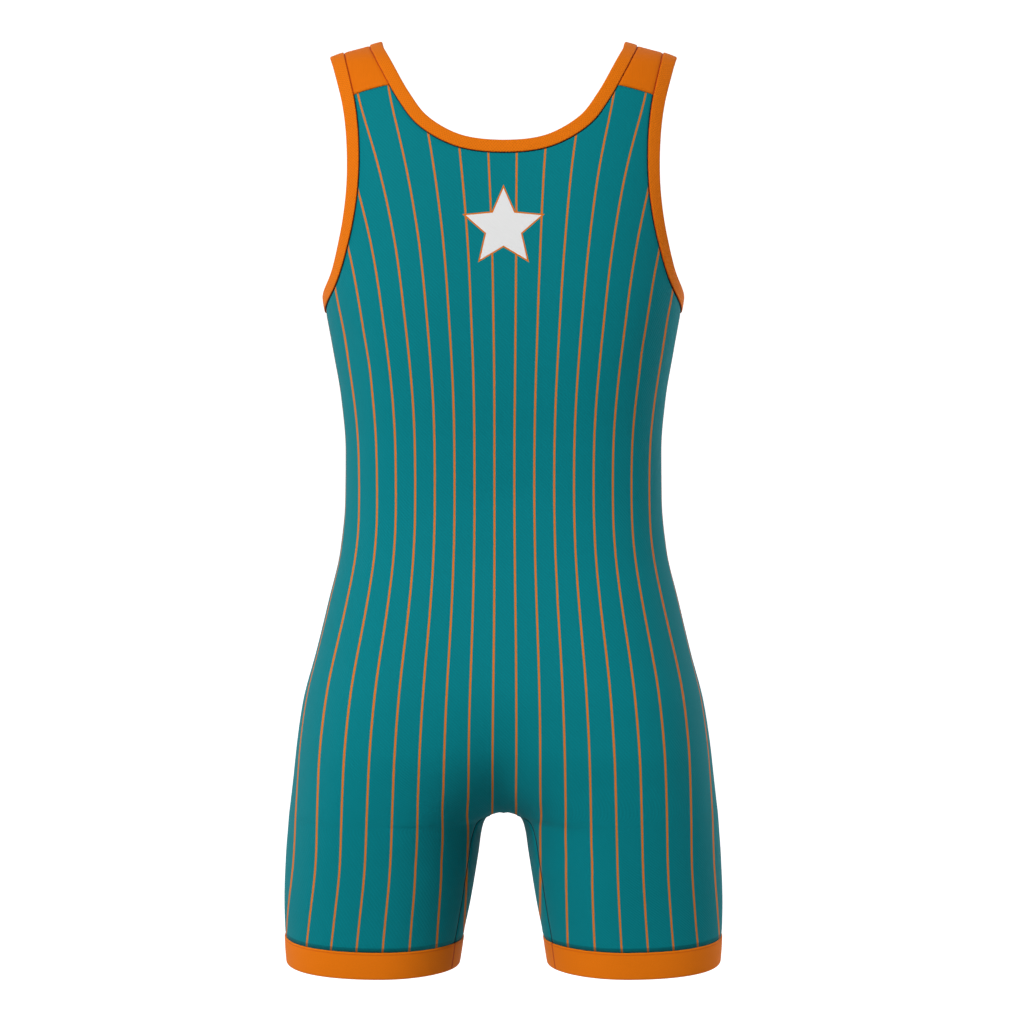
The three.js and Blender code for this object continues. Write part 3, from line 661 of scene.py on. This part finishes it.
TEAL = linear(4, 124, 133)
ORANGE = linear(220, 110, 8)
BINDING = linear(227, 116, 12)
STRIPE = linear(212, 115, 20)
WHITE = linear(228, 228, 228)
# Painted shade: the seam colours stand for dark stitching together with the shadow along the seams, and the
# darker teal after them for the shade on the strip above the leg band
ORANGE_SEAM_SHADE = linear(190, 70, 18)
TEAL_SEAM_SHADE = (0.004, 0.012, 0.016, 1)
TEAL_PRESSED_SHADE = (0.0, 0.03, 0.035, 1)
TEAL_SHEEN = (0.55, 0.95, 0.95, 1)
ORANGE_SHEEN = (1.0, 0.8, 0.6, 1)

STAR_MIDDLE = (0.0, 173.0)
STAR_RADIUS = 37.0
STAR_NOTCH = 0.46
STAR_LINE = 1.2

# The width of a knit stitch across a binding
COURSE = 2.6


class Nodes:
    """Short names for a material's nodes."""

    def __init__(self, name):
        self.material = bpy.data.materials.new(name)
        self.material.use_nodes = True
        self.tree = self.material.node_tree
        self.shader = self.tree.nodes["Principled BSDF"]

    def new(self, kind, **settings):
        node = self.tree.nodes.new(kind)
        for key, value in settings.items():
            setattr(node, key, value)
        return node

    def put(self, socket, value):
        if isinstance(value, bpy.types.NodeSocket):
            self.tree.links.new(value, socket)
        else:
            socket.default_value = value

    def math(self, operation, a, b=0.0, c=0.0):
        node = self.new("ShaderNodeMath", operation=operation)
        for socket, value in zip(node.inputs, (a, b, c)):
            self.put(socket, value)
        return node.outputs[0]

    def plus(self, a, b):
        return self.math("ADD", a, b)

    def minus(self, a, b):
        return self.math("SUBTRACT", a, b)

    def times(self, a, b):
        return self.math("MULTIPLY", a, b)

    def uv(self, layer):
        """The layer's place, and its two values."""
        node = self.new("ShaderNodeUVMap", uv_map=layer)
        split = self.new("ShaderNodeSeparateXYZ")
        self.put(split.inputs[0], node.outputs[0])
        return node.outputs[0], split.outputs[0], split.outputs[1]

    def mix(self, factor, a, b):
        node = self.new("ShaderNodeMix", data_type="RGBA")
        self.put(node.inputs[0], factor)
        self.put(node.inputs[6], a)
        self.put(node.inputs[7], b)
        return node.outputs[2]

    def ramp(self, value, low, high):
        """0 below low, 1 above high, smooth between."""
        node = self.new("ShaderNodeMapRange", interpolation_type="SMOOTHSTEP")
        self.put(node.inputs[0], value)
        self.put(node.inputs[1], low)
        self.put(node.inputs[2], high)
        return node.outputs[0]

    def under(self, value, low, high):
        """1 below low, 0 above high, smooth between."""
        return self.minus(1.0, self.ramp(value, low, high))

    def texture(self, kind, vector, inputs, **settings):
        node = self.new(kind, **settings)
        self.put(node.inputs["Vector"], vector)
        for name, value in inputs.items():
            self.put(node.inputs[name], value)
        return node.outputs["Fac"]

    def noise(self, vector, scale, detail):
        inputs = {"Scale": scale, "Detail": detail, "Roughness": 0.6}
        return self.texture("ShaderNodeTexNoise", vector, inputs)

    def mottled(self, vector, color, spread, scale):
        """The color in soft patches, up to spread lighter or darker."""
        patches = self.noise(vector, scale, 3.0)
        return self.mix(patches, shade(color, 1 - spread), shade(color, 1 + spread))

    def bump(self, height, strength, distance):
        node = self.new("ShaderNodeBump")
        self.put(node.inputs["Strength"], strength)
        self.put(node.inputs["Distance"], distance)
        self.put(node.inputs["Height"], height)
        self.put(self.shader.inputs["Normal"], node.outputs[0])

    def cloth(self, color, roughness, sheen, tint):
        self.put(self.shader.inputs["Base Color"], color)
        self.shader.inputs["Roughness"].default_value = roughness
        self.shader.inputs["IOR"].default_value = 1.15
        self.shader.inputs["Specular IOR Level"].default_value = 0.4
        self.shader.inputs["Sheen Weight"].default_value = sheen
        self.shader.inputs["Sheen Roughness"].default_value = 0.45
        self.shader.inputs["Sheen Tint"].default_value = tint
        return self.material


def star_masks(n, across, along, spacing):
    """Where a plain five-pointed star in the middle of the upper back has its line and its filling."""
    x = n.minus(across, STAR_MIDDLE[0])
    y = n.minus(along, -STAR_MIDDLE[1])
    radius = n.math("SQRT", n.plus(n.times(x, x), n.times(y, y)))
    # Every tip is folded onto the right half of the top one
    fifth = 2 * math.pi / 5
    angle = n.plus(n.math("ARCTAN2", x, y), fifth / 2)
    folded = n.math("ABSOLUTE", n.minus(n.math("FLOORED_MODULO", angle, fifth), fifth / 2))
    folded_x = n.times(radius, n.math("SINE", folded))
    folded_y = n.times(radius, n.math("COSINE", folded))
    tip = np.array([0, STAR_RADIUS])
    notch = np.array([math.sin(fifth / 2), math.cos(fifth / 2)]) * STAR_RADIUS * STAR_NOTCH
    normal = np.array([tip[1] - notch[1], notch[0]]) / np.linalg.norm(notch - tip)
    reach = n.plus(n.times(folded_x, normal[0]), n.times(folded_y, normal[1]))
    outside = n.minus(reach, float(normal @ tip))
    near = n.under(radius, STAR_RADIUS * 1.3, STAR_RADIUS * 1.3 + 0.1)
    near = n.times(near, n.math("LESS_THAN", spacing, UNPRINTED / 100))
    return [n.times(n.under(outside, edge - 0.15, edge + 0.15), near) for edge in (0.0, -STAR_LINE)]


def jersey_material(star):
    n = Nodes("jersey_back" if star else "jersey_front")
    _, number, spacing = n.uv("Stripes")
    cloth_uv, across, along = n.uv("Cloth")
    _, seam, hem = n.uv("Edges")
    # Fine diagonal knit
    inputs = {"Scale": 0.2, "Distortion": 0.6, "Detail": 1.0}
    settings = {"wave_type": "BANDS", "bands_direction": "DIAGONAL", "wave_profile": "SIN"}
    knit = n.texture("ShaderNodeTexWave", cloth_uv, inputs, **settings)
    color = n.mix(n.times(knit, 0.16), n.mottled(cloth_uv, TEAL, 0.14, 0.9), shade(TEAL, 0.45))
    # Printed pinstripes halfway between whole numbers
    off = n.times(n.math("ABSOLUTE", n.minus(n.math("FRACT", number), 0.5)), spacing)
    stripe = n.under(off, STRIPE_WIDTH / 2 - STRIPE_SOFTNESS, STRIPE_WIDTH / 2 + STRIPE_SOFTNESS)
    color = n.mix(stripe, color, STRIPE)
    if star:
        line, filling = star_masks(n, across, along, spacing)
        color = n.mix(filling, n.mix(line, color, STRIPE), WHITE)
    # Painted shade: a near-black line beside the bindings and along the inseam stands for the stitching
    # together with the shadow under the bindings' edges, and a darker strip above the leg band stands for
    # the shade on its flattened allowance
    color = n.mix(n.times(n.under(seam, 0.3, 1.1), 0.9), color, TEAL_SEAM_SHADE)
    color = n.mix(n.times(n.under(hem, 3.6, 4.4), 0.3), color, TEAL_PRESSED_SHADE)
    fine = n.noise(cloth_uv, 1.6, 2.0)
    n.bump(n.plus(n.times(knit, 0.5), n.times(fine, 0.6)), 0.4, 0.0004)
    return n.cloth(color, 0.75, 0.02, TEAL_SHEEN)


def plain_material(name, color, rib, seam_reach):
    """Plain knit; rib is the distance between the lengthwise ribs, or 0, and seam_reach how far the
    seam's shadow comes over it."""
    n = Nodes(name)
    cloth_uv, across, along = n.uv("Cloth")
    _, seam, hem = n.uv("Edges")
    shown = n.mottled(cloth_uv, color, 0.08, 0.8)
    # Painted shade: the seam lines are darkened for their stitching together with the shadow where the
    # pieces meet
    shown = n.mix(n.under(seam, 0.3 * seam_reach, seam_reach), shown, ORANGE_SEAM_SHADE)
    # Painted shade in the groove under the leg band's rolled top edge
    fold_groove_shade = n.under(n.math("ABSOLUTE", n.minus(hem, 1.7)), 0.3, 0.8)
    shown = n.mix(n.times(fold_groove_shade, 0.35), shown, ORANGE_SEAM_SHADE)
    fine = n.noise(cloth_uv, 1.7, 2.0)
    if rib:
        wales = n.times(n.math("COSINE", n.times(along, 2 * math.pi / rib)), 0.5)
        courses = n.times(n.math("COSINE", n.times(across, 2 * math.pi / COURSE)), 0.5)
        stitches = n.times(wales, courses)
        dots = n.times(n.minus(stitches, 0.05), 2.4)
        shown = n.mix(n.math("MAXIMUM", dots, 0.0), shown, shade(color, 0.55))
        n.bump(n.plus(stitches, n.times(fine, 0.5)), 0.7, 0.0005)
    else:
        n.bump(fine, 0.35, 0.0004)
    return n.cloth(shown, 0.7, 0.03, ORANGE_SHEEN)


materials = {
    "jersey_back": jersey_material(True),
    "jersey_front": jersey_material(False),
    "shoulder": plain_material("shoulder_jersey", ORANGE, 0, 1.1),
    "binding": plain_material("binding_rib", BINDING, 3.0, 0.4),
    "band": plain_material("leg_band_knit", BINDING, 0, 0.9),
}


# The panels

SEAM_STOPS = 1600
MIDDLE_STEPS = 240
# The inseam is a broader line than a bound seam
INSEAM_FINENESS = 0.7


def seam_tree(*lines):
    """A search tree of places on seam lines."""
    stops = np.concatenate([line.at(np.linspace(0, line.length, SEAM_STOPS)) for line in lines])
    tree = KDTree(len(stops))
    for i, place in enumerate(stops):
        tree.insert(place, i)
    tree.balance()
    return tree


BOUND_SEAMS = seam_tree(neck_line, armhole_line)
INSEAM_TREE = seam_tree(inseam_line)


def nearest(points, tree):
    """The distance from each place to the nearest seam place."""
    distances = [min(tree.find(place)[2], FAR) for place in points.reshape(-1, 3)]
    return np.array(distances).reshape(points.shape[:-1])


def evenly(start, end, count):
    return np.linspace(start, end, count + 1)


def middle_line(side, start):
    """The middle of a panel, from a drop down to the crotch, with its places closer towards that."""
    crotch = INSEAM[0][2]
    drops = crotch - (crotch - start) * (1 - np.arange(MIDDLE_STEPS + 1) / MIDDLE_STEPS) ** 2
    return Line(section_points(side, drops, 0.0))


def section_maps(side, points):
    """The length and the stripe coordinate at places on the form."""
    return on_section(side, -points[:, 2], share_of(side, points))[1:]


def panel(side):
    """A panel's sheet and the stations on its neck and armhole seams. Its rows run from the middle to
    the side: neck and chest rows end at the armhole, and the rest at the side seam."""
    neck_rows, chest_rows = NECK_ROWS[side], CHEST_ROWS[side]
    neck_end = 0.0 if side == "back" else neck_line.length
    neck_start = neck_line.crossing(side, STRAP_CHANGE["neck"])
    arm_start = armhole_line.crossing(side, STRAP_CHANGE["armhole"], last=side == "front")
    arm_level = armhole_line.crossing(side, NECK_LOW_AT_ARMHOLE[side])
    neck = stations(neck_line, evenly(neck_start, neck_end, neck_rows), [(neck_rows, 0)])
    neck["seam"][-1, 0] = neck["raw"][-1, 0] = 0
    arm_low = distance_at_share(side, UNDERARM_COLUMN / COLUMNS)
    places = np.concatenate([
        evenly(arm_start, arm_level, neck_rows),
        evenly(arm_level, arm_low, chest_rows)[1:],
        evenly(arm_low, ARM_SIDE, COLUMNS - UNDERARM_COLUMN)[1:],
    ])
    armhole = stations(armhole_line, places, [(len(places) - 1, 1)])
    low_row = neck_rows + chest_rows
    corner = -armhole["seam"][low_row, 2]
    side_corner = -armhole["seam"][-1, 2]
    middle = middle_line(side, -neck["seam"][-1, 2])
    at_corner = middle.crossing(side, corner)
    at_seat = middle.crossing(side, SEAT_DROP)
    stops = np.concatenate([
        evenly(0, at_corner, chest_rows)[1:],
        evenly(at_corner, at_seat, TRUNK_ROWS)[1:],
        evenly(at_seat, middle.length, SEAT_ROWS)[1:],
    ])
    middle_drops = -middle.at(stops)[:, 2]
    band_top = HEM_DROP - LEG_BAND_HEIGHT
    inseam = inseam_line.at(inseam_line.length * evenly(0, 1, THIGH_ROWS)[1:] ** CROTCH_CROWDING)
    side_level = SIDE_AT_CROTCH[side]
    side_drops = np.concatenate([
        evenly(side_corner, SEAT_DROP, TRUNK_ROWS)[1:],
        evenly(SEAT_DROP, side_level, SEAT_ROWS)[1:],
        side_level + (band_top - side_level) * evenly(0, 1, THIGH_ROWS)[1:] ** SIDE_CROWDING[side],
    ])
    sign = 1 if side == "back" else -1
    inseam_shares = sign * share_of("back", inseam)
    left_share = np.concatenate([share_of(side, neck["seam"]), np.zeros(len(stops)), inseam_shares])
    left_drop = np.concatenate([-neck["seam"][:, 2], middle_drops, np.minimum(-inseam[:, 2], band_top)])
    left_drop[-1] = band_top
    arm = armhole["seam"][:low_row + 1]
    right_share = np.concatenate([share_of(side, arm), np.ones(len(side_drops))])
    right_drop = np.concatenate([-arm[:, 2], side_drops])
    seat_start = len(left_share) - 1 - THIGH_ROWS - SEAT_ROWS
    towards = np.clip((np.arange(len(left_share)) - seat_start) / SEAT_ROWS, 0, 1)
    bend = 1 + (CROTCH_BEND - 1) * towards
    hemward = np.clip((np.arange(len(left_share)) - seat_start - SEAT_ROWS) / THIGH_ROWS, 0, 1)

    def grid(rows, columns):
        """Places on the panel, their two maps, and their distance above the leg band."""
        part = np.linspace(0, 1, columns + 1)[None, :]
        share = left_share[rows, None] + (right_share - left_share)[rows, None] * part
        drop = left_drop[rows, None] + (right_drop - left_drop)[rows, None] * part ** bend[rows, None]
        drop = drop - hem_rise(share) * hemward[rows, None]
        points, along, stripe = on_section(side, drop, share)
        return points, along, stripe, band_top - hem_rise(share) - drop

    upper = np.arange(low_row + 1)
    lower = np.arange(low_row, len(left_share))
    sheet = Sheet()

    def add(points, along, stripe, hem=FAR):
        """Add places to the sheet, and the same places mirrored."""
        drop = -points[..., 2]
        edge = np.minimum(nearest(points, BOUND_SEAMS), INSEAM_FINENESS * nearest(points, INSEAM_TREE))
        spacing = rounded(STRIPE_SPACING, drop)
        shift = rounded(STRIPE_MIDDLE, drop) / spacing
        for sign in (1, -1):
            maps = (sign * stripe - shift, spacing, sign * along, -drop, edge, np.minimum(hem, FAR))
            sheet.patch(points * np.array([sign, 1, 1]), np.stack(np.broadcast_arrays(*maps), -1))

    neck_maps = section_maps(side, neck["seam"])
    arm_maps = section_maps(side, armhole["seam"])
    points, along, stripe, _ = grid(upper, UNDERARM_COLUMN)
    points[:neck_rows + 1, 0] = neck["seam"]
    points[:, -1] = arm
    add(points, along, stripe)
    # The first row of the lower part is the upper part's last, and then the armhole's lowest stretch
    *low, low_hem = grid(lower, COLUMNS)
    for grid_below, above, beyond in zip(low, (points, along, stripe), (armhole["seam"], *arm_maps)):
        grid_below[0, :UNDERARM_COLUMN + 1] = above[-1]
        grid_below[0, UNDERARM_COLUMN + 1:] = beyond[low_row + 1:]
    add(*low, low_hem)
    # The strips that the bindings cover
    for run, run_maps in ((neck, neck_maps), (armhole, arm_maps)):
        add(np.stack([run["seam"], run["raw"]], 1), *(np.stack([values, values], 1) for values in run_maps))
    return sheet, neck, armhole


def groove(maps):
    """The panel rolls in under the bindings and is pressed flat above the leg band."""
    edge, hem = maps[:, 4], maps[:, 5]
    roll = -0.5 * np.exp(-(edge / 1.6) ** 2)
    pressed = 0.25 * (1 - np.clip((hem - 3.4) / 1.2, 0, 1))
    join = -0.55 * np.exp(-(hem / 0.9) ** 2)
    return roll + pressed + join


back_sheet, back_neck, back_arm = panel("back")
front_sheet, front_neck, front_arm = panel("front")
pieces = {
    "back_cloth": back_sheet.shell("back_cloth", materials["jersey_back"], groove),
    "front_cloth": front_sheet.shell("front_cloth", materials["jersey_front"], groove),
}


# The shoulder pieces

SHOULDER_ROWS = 56
SHOULDER_COLUMNS = 20


def shoulder():
    """The right shoulder piece's stations on its two seams, and the places between them."""
    neck_from = neck_line.crossing("back", STRAP_CHANGE["neck"])
    neck_to = neck_line.crossing("front", STRAP_CHANGE["neck"])
    arm_back = armhole_line.crossing("back", STRAP_CHANGE["armhole"])
    arm_front = armhole_line.length - armhole_line.crossing("front", STRAP_CHANGE["armhole"], last=True)
    neck = stations(neck_line, evenly(neck_from, neck_to, SHOULDER_ROWS))
    armhole = stations(armhole_line, evenly(arm_back, -arm_front, SHOULDER_ROWS) % armhole_line.length)
    part = np.linspace(0, 1, SHOULDER_COLUMNS + 1)[None, :, None]
    points = settle(neck["seam"][:, None] * (1 - part) + armhole["seam"][:, None] * part)
    points[:, 0], points[:, -1] = neck["seam"], armhole["seam"]
    return neck, armhole, points


shoulder_neck, shoulder_arm, shoulder_points = shoulder()


def shoulder_sheet(sign):
    sheet = Sheet()
    strips = [np.stack([run["seam"], run["raw"]], 1) for run in (shoulder_neck, shoulder_arm)]
    for points in (shoulder_points, *strips):
        x, y, z = np.moveaxis(points, -1, 0)
        # The cloth runs back and down over the strap
        along = y - z * 0.7
        maps = np.broadcast_arrays(0.0, 0.0, x, along, nearest(points, BOUND_SEAMS), FAR)
        sheet.patch(points * np.array([sign, 1, 1]), np.stack(maps, -1))
    return sheet


def shoulder_groove(maps):
    """The shoulder piece lies almost level with the bindings and dips only at the seam lines."""
    edge = maps[:, 4]
    return 0.5 - 0.8 * np.exp(-(edge / 1.3) ** 2)


for name, sign in (("shoulder_cloth_right", 1), ("shoulder_cloth_left", -1)):
    pieces[name] = shoulder_sheet(sign).shell(name, materials["shoulder"], shoulder_groove)


# The bindings

# Half the thickness of a binding and of a leg band
TAPE_OUTER = 1.75
BAND_OUTER = 1.0


def tape_section(width):
    """The folded section: the distance from the seam line towards the edge, and the distance out of
    the cloth's middle."""
    outer = TAPE_OUTER
    inner = JERSEY_WALL / 2 + 0.12
    half = [(0.0, inner), (0.05, outer - 0.55), (0.5, outer - 0.12), (1.3, outer + 0.02)]
    for part in np.arange(1, 8) / 8:
        half.append((1.3 + (width - 3.1) * part, outer + 0.16 * math.sin(math.pi * part)))
    for short, less in ((1.6, -0.02), (0.85, 0.22), (0.3, 0.7), (0.02, 1.25)):
        half.append((width - short, outer - less))
    half.append((width + 0.05, 0.0))
    back = [(out, -height) for out, height in reversed(half[:-1])]
    inside = width - TURN_IN + 0.3
    return np.array(half + back + [(inside, -inner), (inside, inner)])


def tape(name, run, material):
    """A binding over the raw edges along a closed run of stations."""
    section = tape_section(run["width"])
    part = section[:, 0][None, :, None] / (run["width"] - TURN_IN)
    seam, raw = run["seam"][:, None], run["raw"][:, None]
    normal = unit(run["seam_out"][:, None] * (1 - part) + run["raw_out"][:, None] * part)
    lift = relief(run["seam"]).reshape(-1, 1, 1)
    vertices = seam * (1 - part) + raw * part + normal * (section[:, 1][None, :, None] + lift)
    along = ring_lengths(run["seam"])[:, None]
    offsets = np.concatenate([[0], np.cumsum(np.linalg.norm(np.diff(section, axis=0), axis=1))])
    across = np.append(offsets, offsets[-1] + 1)
    from_seam = np.append(section[:, 0], section[0, 0])
    return tube(name, vertices, {"Cloth": (along, across), "Edges": (from_seam, FAR)}, material)


neck_half = joined(reverse(back_neck), picked(shoulder_neck, slice(1, -1)), front_neck)
neck_ring = joined(neck_half, reverse(flipped(picked(neck_half, slice(1, -1)))))
arm_front = joined(reverse(front_arm), reverse(picked(shoulder_arm, slice(1, -1))))
arm_ring = joined(picked(back_arm, slice(0, -1)), arm_front)
RINGS = {"neck_tape": neck_ring, "armhole_tape_right": arm_ring, "armhole_tape_left": flipped(arm_ring)}
for name, ring in RINGS.items():
    pieces[name] = tape(name, ring, materials["binding"])


# The leg bands

BAND_COLUMNS = 150
BAND_SEAM_FINENESS = 0.5


def band_section():
    """From the band's top down: a rolled edge with a groove under it, a slightly round face and the
    rounded lower edge."""
    edge = ((0.0, -0.5), (0.5, -0.12), (1.1, 0.05), (1.7, -0.12), (2.4, 0.04))
    half = [(down, BAND_OUTER + more) for down, more in edge]
    for part in np.arange(1, 9) / 8:
        height = BAND_OUTER + 0.12 * math.sin(math.pi * part)
        half.append((2.4 + (LEG_BAND_HEIGHT - 4.4) * part, height))
    for short, less in ((1.1, 0.12), (0.4, 0.45), (0.02, 0.9)):
        half.append((LEG_BAND_HEIGHT - short, BAND_OUTER - less))
    return np.array(half + [(down, -height) for down, height in reversed(half)])


def leg_band(name, sign, material):
    """A soft folded band round the bottom of one leg."""
    section = band_section()
    top = HEM_DROP - LEG_BAND_HEIGHT
    share = np.linspace(0, 1, BAND_COLUMNS + 1)
    ring = []
    for side, order in (("back", 1), ("front", -1)):
        rows = []
        for down, out in section:
            points = on_section(side, top + down - hem_rise(share), share)[0]
            rows.append(points + outward(points) * (out + relief(points))[:, None])
        ring.append(np.stack(rows, 1)[::order][:-1])
    vertices = np.concatenate(ring) * np.array([sign, 1, 1])
    mean = vertices[:, 0]
    lengths = ring_lengths(mean)
    inseam_end = inseam_line.at(inseam_line.length) * np.array([sign, 1, 1])
    from_inseam = np.abs(lengths[:-1] - lengths[np.linalg.norm(mean - inseam_end, axis=1).argmin()])
    from_inseam = np.minimum(from_inseam, lengths[-1] - from_inseam) * BAND_SEAM_FINENESS
    from_inseam = np.append(from_inseam, from_inseam[0])[:, None]
    from_top = np.append(section[:, 0], section[0, 0])
    maps = {"Cloth": (lengths[:, None], from_top), "Edges": (from_inseam, from_top)}
    return tube(name, vertices, maps, material)


for name, sign in (("leg_band_cloth_right", 1), ("leg_band_cloth_left", -1)):
    pieces[name] = leg_band(name, sign, materials["band"])


# What the pieces are

# The solid and the material slot of each piece, and the cut of its sheet: width and length in metres
# and, where it isn't a plain strip, area in square metres
PIECES = {
    "back_cloth": ("back_panel", "jersey", (0.50, 0.80), 0.28),
    "front_cloth": ("front_panel", "jersey", (0.52, 0.80), 0.28),
    "shoulder_cloth_right": ("shoulder_piece_right", "shoulder_jersey", (0.055, 0.15), 0.0075),
    "shoulder_cloth_left": ("shoulder_piece_left", "shoulder_jersey", (0.055, 0.15), 0.0075),
    "neck_tape": ("neck_binding", "binding", (0.028, 0.75), None),
    "armhole_tape_right": ("armhole_binding_right", "binding", (0.030, 0.56), None),
    "armhole_tape_left": ("armhole_binding_left", "binding", (0.030, 0.56), None),
    "leg_band_cloth_right": ("leg_band_right", "leg_band", (0.026, 0.50), None),
    "leg_band_cloth_left": ("leg_band_left", "leg_band", (0.026, 0.50), None),
}
for name, (node, slot, flat, area) in PIECES.items():
    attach(pieces[name], "root")
    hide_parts(node)


# Floor, light and camera

# In metres
FLOOR_Z = -1.1
FLOOR_NEAR = -12.0
COVE_START, COVE_RADIUS, COVE_TOP = 2.5, 2.0, 9.0
COVE_SIDE = 14.0
COVE_STEPS = 16
# How far behind the garment the floor starts to glow and glows in full
GLOW = (0.5, 1.0)


def straight(n, value, low, high, start, end):
    """start below low, end above high, straight between."""
    node = n.new("ShaderNodeMapRange")
    for socket, number in zip(node.inputs, (value, low, high, start, end)):
        n.put(socket, number)
    return node.outputs[0]


def floor_material():
    """It glows only behind the garment, so that no light comes up from below, and less at the sides."""
    n = Nodes("floor")
    n.put(n.shader.inputs["Base Color"], (0.6, 0.6, 0.6, 1))
    n.put(n.shader.inputs["Roughness"], 0.9)
    n.put(n.shader.inputs["Specular IOR Level"], 0.0)
    n.put(n.shader.inputs["Emission Color"], (1, 1, 1, 1))
    _, across, back = n.uv("Depth")
    behind = straight(n, back, *GLOW, 0.0, 0.85)
    beside = straight(n, n.math("ABSOLUTE", across), 2.2, 4.0, 1.0, 0.3)
    n.put(n.shader.inputs["Emission Strength"], n.times(behind, beside))
    return n.material


# A pale floor that curves up into the wall behind, bright enough to read as white
profile = [(y, FLOOR_Z) for y in (FLOOR_NEAR, *GLOW, COVE_START)]
for turn in np.arange(1, COVE_STEPS + 1) * math.pi / 2 / COVE_STEPS:
    rise = COVE_RADIUS * (1 - math.cos(turn))
    profile.append((COVE_START + COVE_RADIUS * math.sin(turn), FLOOR_Z + rise))
profile.append((COVE_START + COVE_RADIUS, COVE_TOP))
cove = np.array([(x, y, z) for y, z in profile for x in (-COVE_SIDE, COVE_SIDE)])
cove_faces = np.array([(2 * k, 2 * k + 1, 2 * k + 3, 2 * k + 2) for k in range(len(profile) - 1)])
cove_maps = {"Depth": cove[cove_faces][..., :2]}
floor = make_object("floor", cove / METRES, cove_faces, cove_maps, floor_material())

world = bpy.data.worlds.new("studio")
bpy.context.scene.world = world
world.use_nodes = True
world.node_tree.nodes["Background"].inputs["Color"].default_value = (1, 1, 1, 1)
world.node_tree.nodes["Background"].inputs["Strength"].default_value = 0.18

LIT_PLACE = Vector((0, 0, -0.42))
# Each light's place, width and height in metres, power in watts, and spread in degrees
LIGHTS = {
    "key": ((-1.7, -2.7, 1.25), (1.6, 1.6), 24, 80),
    "fill": ((2.8, -0.4, 0.2), (1.2, 1.8), 5.0, 80),
    "rim_right": ((1.9, 1.7, 0.0), (0.8, 1.8), 3.2, 90),
    "rim_left": ((-2.5, 1.2, -0.2), (0.6, 1.8), 3.6, 80),
}
for name, (place, size, power, spread) in LIGHTS.items():
    data = bpy.data.lights.new(name, "AREA")
    data.shape = "RECTANGLE"
    data.size, data.size_y = size
    data.energy = power
    data.spread = math.radians(spread)
    lamp = bpy.data.objects.new(name, data)
    lamp.location = place
    lamp.rotation_mode = "QUATERNION"
    lamp.rotation_quaternion = (LIT_PLACE - Vector(place)).to_track_quat("-Z", "Y")
    bpy.context.scene.collection.objects.link(lamp)

# The photo shows 0.9 mm a pixel from this distance, with the garment 5 pixels left of its middle
PIXELS = 1024
SENSOR = 36
VIEW_DISTANCE = 2150
camera_data = bpy.data.cameras.new("camera")
camera_data.sensor_width = SENSOR
camera_data.lens = SENSOR * VIEW_DISTANCE / (PIXELS * 0.9)
camera_data.shift_x = 5 / PIXELS
camera_data.clip_start = 0.05
camera_data.clip_end = 200
camera = bpy.data.objects.new("camera", camera_data)
camera.location = (0, -VIEW_DISTANCE * METRES, -0.416)
camera.rotation_euler = (math.pi / 2, 0, 0)
bpy.context.scene.collection.objects.link(camera)
bpy.context.scene.camera = camera
bpy.context.scene.view_settings.view_transform = "Standard"
